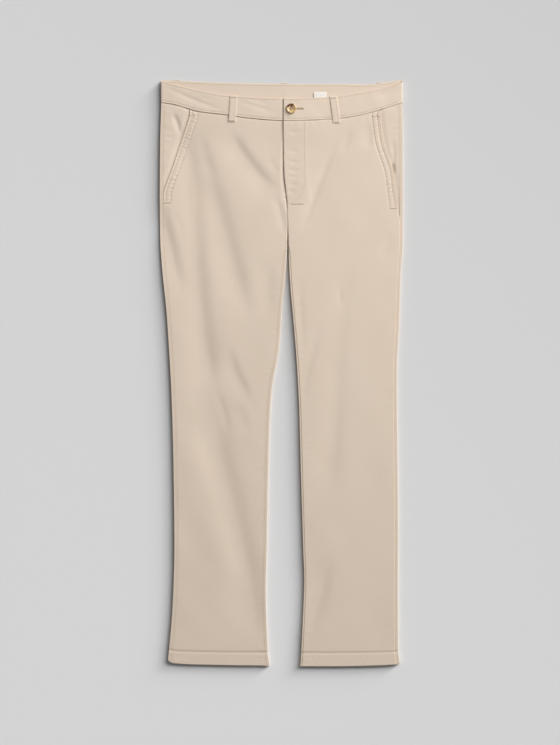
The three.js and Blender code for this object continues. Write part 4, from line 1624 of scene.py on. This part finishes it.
@dataclass
class BeltLoops:
    """Five belt loops: two in front, three behind.

    Attributes:
        width: Width of a loop.
        cloth: Height of its face over the band.
        bow: How much higher its middle stands.
        over_edge: How far a back loop shows over the band's upper edge.
        cuts: The loops.
    """

    width: float = 13.0
    cloth: float = 0.9
    bow: float = 0.3
    over_edge: float = 1.5
    cuts: tuple[LoopCut, ...] = (
        LoopCut("belt_loop_front_right", Side.RIGHT, -87.2, -90.6, 11.0),
        LoopCut("belt_loop_front_left", Side.LEFT, 94.4, 101.0, 8.5),
        LoopCut("belt_loop_back_right", Side.RIGHT, -191.2, -191.2, 7.0, True),
        LoopCut("belt_loop_back_centre", Side.LEFT, 4.2, 4.2, 7.0, True),
        LoopCut("belt_loop_back_left", Side.LEFT, 181.9, 181.9, 7.0, True),
    )

    def grid(self, cut: LoopCut) -> Array:
        """Points of one loop, with its long edges turned under.

        Args:
            cut: The loop.

        Returns:
            Rows of points in millimetres, from its lower end to its upper end.
        """
        offset, depth = half_round(0.55, 5)
        half = self.width / 2
        inner = np.concatenate([[-half + 0.7], np.linspace(-half + 1.6, half - 1.6, 7), [half - 0.7]])
        across = np.concatenate([-half + offset, inner, half - offset[::-1]])
        sink = np.concatenate([depth, 0 * inner, depth[::-1]])
        middle = (cut.top + cut.bottom) / 2
        if cut.behind:
            high, low = float(BACK_TOP(middle)) + self.over_edge, BACK_SEAM_Y - cut.below
        else:
            high, low = float(FRONT_TOP(middle)), float(FRONT_SEAM(middle)) - cut.below
        end_off, end_depth = half_round(0.6, 5)
        length = high - low
        shares = [(o / length, d) for o, d in zip(end_off, end_depth)]
        shares += [(s, 0.0) for s in (0.018, *np.linspace(0.06, 0.94, 22), 0.982)]
        shares += [(1 - o / length, d) for o, d in zip(end_off[::-1], end_depth[::-1])]
        rows = []
        for share, end_sink in shares:
            x, y = mix(cut.bottom, cut.top, share) + across, np.full_like(across, mix(low, high, share))
            down = np.maximum(sink, end_sink)
            if cut.behind:
                z = down
            else:
                base = band_top(cut.side, np.full_like(x, mix(cut.bottom, cut.top, share)))
                z = base + self.bow * math.sin(math.pi * share) + self.cloth - down
            groove = 0.12 * bell(np.abs(across) - half + 2.0, 0.8)
            z = z + (groove if cut.behind else -groove)
            rows.append(np.stack([x, y, z], axis=1))
        return np.array(rows)

    def dress(self, wardrobe: Wardrobe) -> list[bpy.types.Object]:
        """Build and finish the loops.

        Args:
            wardrobe: The finishes.

        Returns:
            The loops, in the order of their cuts.
        """
        loops = []
        for cut in self.cuts:
            points = self.grid(cut)
            sides = np.abs(points[:, :, 0] - points[:, :, 0].mean(axis=1, keepdims=True))
            wear_and_painted_shade = 0.4 * bell(self.width / 2 - sides, 1.0)
            outward = Vector((0, 0, -1 if cut.behind else 1))
            loop = ClothMesh.build(f"{cut.node}_cloth", points, wear_and_painted_shade, outward, 0.5)
            Tools.finish(loop, wardrobe.twill, "cotton_twill", cut.node)
            declare_sheet(loop, points, f"waistband_{cut.side.name.lower()}")
            loops.append(loop)
        return loops


@dataclass
class WaistButton:
    """Four-hole button with a raised rim, and the thread that holds it.

    Attributes:
        x: Its place across.
        y: Its place along.
        radius: Outer radius.
        height: Thickness at the rim.
        rim: Width of the rim.
        slope: Width of the slope from the rim into the dish.
        dish: Depth of the dished middle.
        rounding: Radius of its edges.
        hole: Radius of a hole.
        ring: Distance of the holes from the middle.
    """

    x: float = 18.0
    y: float = 483.4
    radius: float = 9.0
    height: float = 2.6
    rim: float = 2.0
    slope: float = 1.1
    dish: float = 0.55
    rounding: float = 0.35
    hole: float = 0.85
    ring: float = 2.0

    @property
    def base(self) -> float:
        """Height of the button's under face."""
        return BAND_TOP + FLY_RISE_AT_BAND + 0.3

    def disc(self) -> bpy.types.Object:
        """Turn the disc: rim, dished face and rounded edges."""
        bpy.ops.object.select_all(action="DESELECT")
        middle = (self.x * MM, self.y * MM, (self.base + self.height / 2) * MM)
        bpy.ops.mesh.primitive_cylinder_add(
            vertices=64, radius=self.radius * MM, depth=self.height * MM, location=middle
        )
        disc = bpy.context.active_object
        disc.name = "waist_button"
        disc.data.name = "waist_button"
        bpy.ops.object.mode_set(mode="EDIT")
        self.select_faces(disc, lambda face: face.normal.z > 0.9)
        bpy.ops.mesh.inset(thickness=self.rim * MM, depth=0)
        bpy.ops.mesh.inset(thickness=self.slope * MM, depth=-self.dish * MM)
        bpy.ops.mesh.inset(thickness=2.0 * MM, depth=-0.1 * MM)
        bpy.ops.object.mode_set(mode="OBJECT")
        soft = disc.modifiers.new("rounded edges", "BEVEL")
        soft.width = self.rounding * MM
        soft.segments = 3
        soft.limit_method = "ANGLE"
        soft.angle_limit = math.radians(20)
        Tools.apply(disc)
        for turn in (45, 135, 225, 315):
            self.drill(disc, math.radians(turn))
        Tools.settle(disc)
        bpy.ops.object.shade_smooth_by_angle(angle=math.radians(35))
        return disc

    @staticmethod
    def select_faces(piece: bpy.types.Object, test: Callable[[bmesh.types.BMFace], bool]) -> None:
        """Select the faces that pass a test, and no others."""
        shape = bmesh.from_edit_mesh(piece.data)
        for face in shape.faces:
            face.select_set(False)
        for face in shape.faces:
            if test(face):
                face.select_set(True)
        bmesh.update_edit_mesh(piece.data)

    def drill(self, disc: bpy.types.Object, turn: float) -> None:
        """Drill one thread hole.

        Args:
            disc: The button.
            turn: Direction of the hole from the middle.
        """
        place = Vector((math.cos(turn), math.sin(turn), 0)) * self.ring * MM + disc.location
        bpy.ops.object.select_all(action="DESELECT")
        bpy.ops.mesh.primitive_cylinder_add(vertices=16, radius=self.hole * MM, depth=0.01, location=place)
        Tools.carve(disc, bpy.context.active_object)

    def thread(self, wardrobe: Wardrobe) -> None:
        """Lay the crossed threads between the holes and down the shank.

        Args:
            wardrobe: The finishes.
        """
        sewn = Stitches("button_thread", radius=0.34)
        level = (self.base + self.height - self.dish) * MM
        middle = Vector((self.x * MM, self.y * MM, level))
        up = Vector((0, 0, 1))
        for turn in (45, 135):
            reach = Vector((math.cos(math.radians(turn)), math.sin(math.radians(turn)), 0)) * self.ring * MM
            beside = reach.cross(up).normalized() * 0.3 * MM
            lift = up * (0.25 if turn == 45 else 0.7) * MM
            for offset in (-1, 0, 1):
                shift = beside * offset * 1.2
                sewn.stitch(middle - reach + shift + lift, middle + reach + shift + lift, up, 0.28)
        under = BAND_TOP - BAND_UNDERLAP_DROP + 0.3
        for k in range(7):
            turn = 2 * math.pi * k / 7
            post = Vector((math.cos(turn), math.sin(turn), 0)) * 0.75 * MM
            foot = Vector((self.x * MM, self.y * MM, under * MM)) + post
            head = Vector((self.x * MM, self.y * MM, self.base * MM)) + post
            sewn.stitch(foot, head, post.normalized(), 0.36)
        piece = sewn.build(wardrobe)
        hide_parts("button_shank")

    def dress(self, wardrobe: Wardrobe) -> None:
        """Build and finish the button and its thread.

        Args:
            wardrobe: The finishes.
        """
        disc = self.disc()
        Tools.finish(disc, wardrobe.horn, "horn_button", "button")
        self.thread(wardrobe)


@dataclass
class SizeTab:
    """Small blank woven tab on the inside of the back waistband.

    Attributes:
        x: Its middle across.
        y: Its middle along.
        width: Its width.
        height: Its height.
        z: Height of its under face.
    """

    x: float = 71.0
    y: float = 507.0
    width: float = 23.0
    height: float = 14.0
    z: float = 3.95

    def dress(self, wardrobe: Wardrobe) -> None:
        """Build and finish the tab: a folded strip, a little bowed.

        Args:
            wardrobe: The finishes.
        """
        across = np.linspace(-self.width / 2, self.width / 2, 13)
        offset, depth = half_round(0.25, 4)
        outer = self.height / 2
        rows = [(-outer, 0.0), (-outer / 2, 0.0), (0.0, 0.0), (outer / 2, 0.0)]
        rows += [(outer - o, d) for o, d in zip(offset[::-1], depth[::-1])] + [(outer / 2, 0.5), (0.0, 0.5)]
        grid = []
        for y, sink in rows:
            bow = 0.15 * np.cos(across / self.width * math.pi)
            z = self.z + 0.6 + bow - sink
            grid.append(np.stack([self.x + across, np.full_like(across, self.y + y), z], axis=1))
        points = np.array(grid)
        tab = ClothMesh.build("size_tab_satin", points, 0 * points[:, :, 0], Vector((0, 0, 1)), 0.22)
        Tools.finish(tab, wardrobe.satin, "satin_tab", "size_tab")
        declare_sheet(tab, points, "waistband_left")


@dataclass
class Topstitching:
    """All the visible sewing: pockets, fly, waistband, hems and bartacks.

    Attributes:
        legs: The two legs.
        bands: The waistband's halves.
        loops: The belt loops.
        wardrobe: The finishes.
    """

    legs: list[Leg]
    bands: list[bpy.types.Object]
    loops: list[bpy.types.Object]
    wardrobe: Wardrobe

    def waist(self) -> None:
        """Sew the band's two rows, in front and on the back's inside."""
        surface = Surface(self.bands)
        sewn = Stitches("waistband_stitches")
        inset = Waistband.stitched
        for edge, shift in ((FRONT_SEAM, inset), (FRONT_TOP, -inset), (BACK_TOP, -inset)):
            sewn.row([(x, float(edge(x)) + shift) for x in np.linspace(-214, 215, 160)], surface)
        sewn.build(self.wardrobe)

    def fly(self) -> None:
        """Sew the curved fly stitching and its bartack."""
        surface = Surface([piece for leg in self.legs for piece in leg.top_pieces])
        sewn = Stitches("fly_stitches")
        straight = [(float(CENTRE_LINE(y)) + 38.5, y) for y in np.linspace(459, 362, 20)]
        top = straight[-1]
        foot = (10.4, 310.0)
        angles = np.linspace(0, math.pi / 2, 16)[1:]
        curve = [(mix(foot[0], top[0], math.cos(a)), mix(top[1], foot[1], math.sin(a))) for a in angles]
        sewn.row(straight + curve, surface)
        sewn.bar((18.7, 309.6), (41.0, 309.6), 2.2, surface)
        sewn.build(self.wardrobe)

    def pockets(self) -> None:
        """Sew two rows beside each pocket opening, with a bartack at each end."""
        for leg in self.legs:
            surface = Surface(leg.top_pieces)
            sewn = Stitches(f"pocket_stitches_{leg.name}")
            sign = leg.cut.side.value
            for inset in leg.pocket_stitches:
                ys = np.linspace(leg.cut.pocket_foot + 6, 480, 60)
                path = []
                for y in ys:
                    slope = float(leg.cut.pocket(y + 1) - leg.cut.pocket(y - 1)) / 2
                    size = math.hypot(1, slope)
                    x = float(leg.cut.pocket(y)) - sign * inset / size
                    path.append((x, y + sign * inset * slope / size))
                sewn.row([p for p in path if p[1] < float(FRONT_SEAM(p[0])) - 2], surface)
            foot = leg.cut.pocket_foot + 5
            x = float(leg.cut.pocket(foot))
            sewn.bar((x - sign * 1.0, foot), (x - sign * 14.0, foot + 1), 2.0, surface)
            head = 470.0 if sign > 0 else 472.0
            edge = float(leg.cut.pocket(head))
            sewn.bar((edge - sign * 1.5, head), (edge - sign * 13.5, head - 1.5), 2.0, surface)
            sewn.build(self.wardrobe)

    def hems(self) -> None:
        """Sew round the front of each hem."""
        for leg in self.legs:
            surface = Surface(leg.top_pieces)
            sewn = Stitches(f"hem_stitches_{leg.name}")
            level = HEM_Y + HEM_HEIGHT
            ends = sorted((float(leg.cut.inner(level)), float(leg.cut.outer(level))))
            xs = np.linspace(ends[0] + 1.5, ends[1] - 1.5, 60)
            rise = float(smooth((HEM_Y + HEM_SLOPE - level) / HEM_SLOPE))
            sewn.row([(x, level + float(leg.cut.hem(x)) * rise) for x in xs], surface)
            sewn.build(self.wardrobe)

    def loop_tacks(self) -> None:
        """Sew a bartack at the foot and head of each front loop."""
        surface = Surface(self.loops)
        sewn = Stitches("belt_loop_stitches")
        for cut in BeltLoops().cuts[:2]:
            middle = (cut.top + cut.bottom) / 2
            low = float(FRONT_SEAM(middle)) - cut.below + 2.2
            high = float(FRONT_TOP(middle)) - Waistband.stitched
            sewn.bar((cut.bottom - 5, low), (cut.bottom + 5, low), 2.0, surface)
            sewn.bar((cut.top - 5, high), (cut.top + 5, high), 2.0, surface)
            for edge in (-4.4, 4.4):
                sewn.row([(cut.bottom + edge, low + 3), (cut.top + edge, high - 3)], surface)
        sewn.build(self.wardrobe)

    def hole_edge(self, hole: Buttonhole) -> None:
        """Work the buttonhole's edge with close stitches.

        Args:
            hole: The buttonhole.
        """
        surface = Surface(self.bands)
        sewn = Stitches("buttonhole_stitches", radius=0.32)
        inner, outer = hole.width / 2, hole.width / 2 + 1.8
        for x in np.arange(hole.start + 1, hole.end - hole.width / 2, 0.6):
            for side in (-1, 1):
                a = surface.at(x, hole.y + side * outer)
                b = surface.at(x, hole.y + side * inner)
                if a and b:
                    sewn.stitch(a[0], b[0], a[1])
        centre = hole.end - hole.width / 2
        for turn in np.linspace(-80, 80, 9):
            c, s = math.cos(math.radians(turn)), math.sin(math.radians(turn))
            a = surface.at(centre + outer * c, hole.y + outer * s)
            b = surface.at(centre + inner * c, hole.y + inner * s)
            if a and b:
                sewn.stitch(a[0], b[0], a[1])
        sewn.build(self.wardrobe)

    def dress(self, hole: Buttonhole) -> None:
        """Sew everything.

        Args:
            hole: The buttonhole.
        """
        self.waist()
        self.fly()
        self.pockets()
        self.hems()
        self.loop_tacks()
        self.hole_edge(hole)


@dataclass
class Studio:
    """Pale floor, soft light from the upper right, and the camera straight above.

    Attributes:
        lens: Focal length in millimetres.
        distance: Height of the camera in metres.
        centre: Point of the floor in the middle of the view, in metres.
        side_light: Elevation, spread and strength of the low side light.
        floor_light: The same for the lamp that lights the floor alone and draws the long soft shadow.
        side_turn: Direction that both come from, anticlockwise from the wearer's left.
        softbox_power: Power of the softbox in watts.
        room: Strength of the even light.
    """

    lens: float = 85.0
    distance: float = 3.22
    centre: tuple[float, float] = (-0.0027, 0.0014)
    side_light: tuple[float, float, float] = (21.0, 38.0, 4.1)
    floor_light: tuple[float, float, float] = (10.0, 14.0, 2.4)
    side_turn: float = 40.0
    softbox_power: float = 14.6
    room: float = 0.19

    def floor(self) -> bpy.types.Object:
        """Lay the floor just under the garment."""
        bpy.ops.object.select_all(action="DESELECT")
        bpy.ops.mesh.primitive_plane_add(size=8.0, location=(0, 0, -0.0002))
        floor = bpy.context.active_object
        floor.name = "floor"
        Tools.settle(floor)
        floor.data.materials.append(ShadePaintedFloor().build())
        return floor

    @staticmethod
    def hang(name: str, light: bpy.types.Light, place: Vector) -> bpy.types.Object:
        """Hang one lamp aimed at the garment.

        Args:
            name: The lamp's name.
            light: Its light.
            place: Where it hangs, in metres.

        Returns:
            The lamp.
        """
        lamp = Tools.link(name, light)
        lamp.location = place
        lamp.rotation_euler = (-place).to_track_quat("-Z", "Y").to_euler()
        return lamp

    def low_lamp(self, name: str, elevation: float, spread: float, strength: float) -> bpy.types.Object:
        """Hang a far, low lamp at the upper right.

        Args:
            name: The lamp's name.
            elevation: Its height over the floor, in degrees.
            spread: How wide it looks from the garment, in degrees.
            strength: Its strength.

        Returns:
            The lamp.
        """
        low = bpy.data.lights.new(name, "SUN")
        low.angle = math.radians(spread)
        low.energy = strength
        up, turn = math.radians(elevation), math.radians(self.side_turn)
        toward = Vector((math.cos(up) * math.cos(turn), math.cos(up) * math.sin(turn), math.sin(up)))
        return self.hang(name, low, toward * 3.0)

    def light(self, floor: bpy.types.Object) -> None:
        """Hang the low side lights and the softbox, and set the even light of the room.

        Args:
            floor: The floor, which has a lamp of its own.
        """
        self.low_lamp("low side light", *self.side_light)
        shadow_lamp = self.low_lamp("low floor light", *self.floor_light)
        floor_only = bpy.data.collections.new("floor only")
        floor_only.objects.link(floor)
        shadow_lamp.light_linking.receiver_collection = floor_only
        soft = bpy.data.lights.new("softbox over the waist", "AREA")
        soft.size = 0.9
        soft.energy = self.softbox_power
        self.hang("softbox over the waist", soft, SOFTBOX)
        world = bpy.data.worlds.new("even room light")
        bpy.context.scene.world = world
        world.use_nodes = True
        background = world.node_tree.nodes["Background"]
        background.inputs["Color"].default_value = (1.0, 1.0, 1.0, 1.0)
        background.inputs["Strength"].default_value = self.room

    def camera(self) -> None:
        """Hang the camera straight above the garment, waist up in the view."""
        data = bpy.data.cameras.new("camera")
        data.lens = self.lens
        data.sensor_width = 36.0
        camera = Tools.link("camera", data)
        camera.location = (*self.centre, self.distance)
        bpy.context.scene.camera = camera

    def build(self) -> None:
        """Set up the floor, the light and the camera."""
        self.light(self.floor())
        self.camera()
        bpy.context.scene.view_settings.view_transform = "Standard"


def main() -> None:
    """Build the garment and its studio in order."""
    logging.basicConfig(level=logging.INFO, format="%(name)s %(message)s")
    wardrobe = Wardrobe()
    legs = [Leg(RIGHT_LEG), Leg(LEFT_LEG)]
    for leg in legs:
        leg.dress(wardrobe)
    hole = Buttonhole()
    bands = Waistband().dress(wardrobe, hole)
    loops = BeltLoops().dress(wardrobe)
    WaistButton().dress(wardrobe)
    SizeTab().dress(wardrobe)
    Topstitching(legs, bands, loops, wardrobe).dress(hole)
    zip_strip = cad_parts["zip"]
    zip_strip.data.materials.clear()
    zip_strip.data.materials.append(wardrobe.zip_tape)
    Studio().build()


if __name__ == "__main__":
    main()
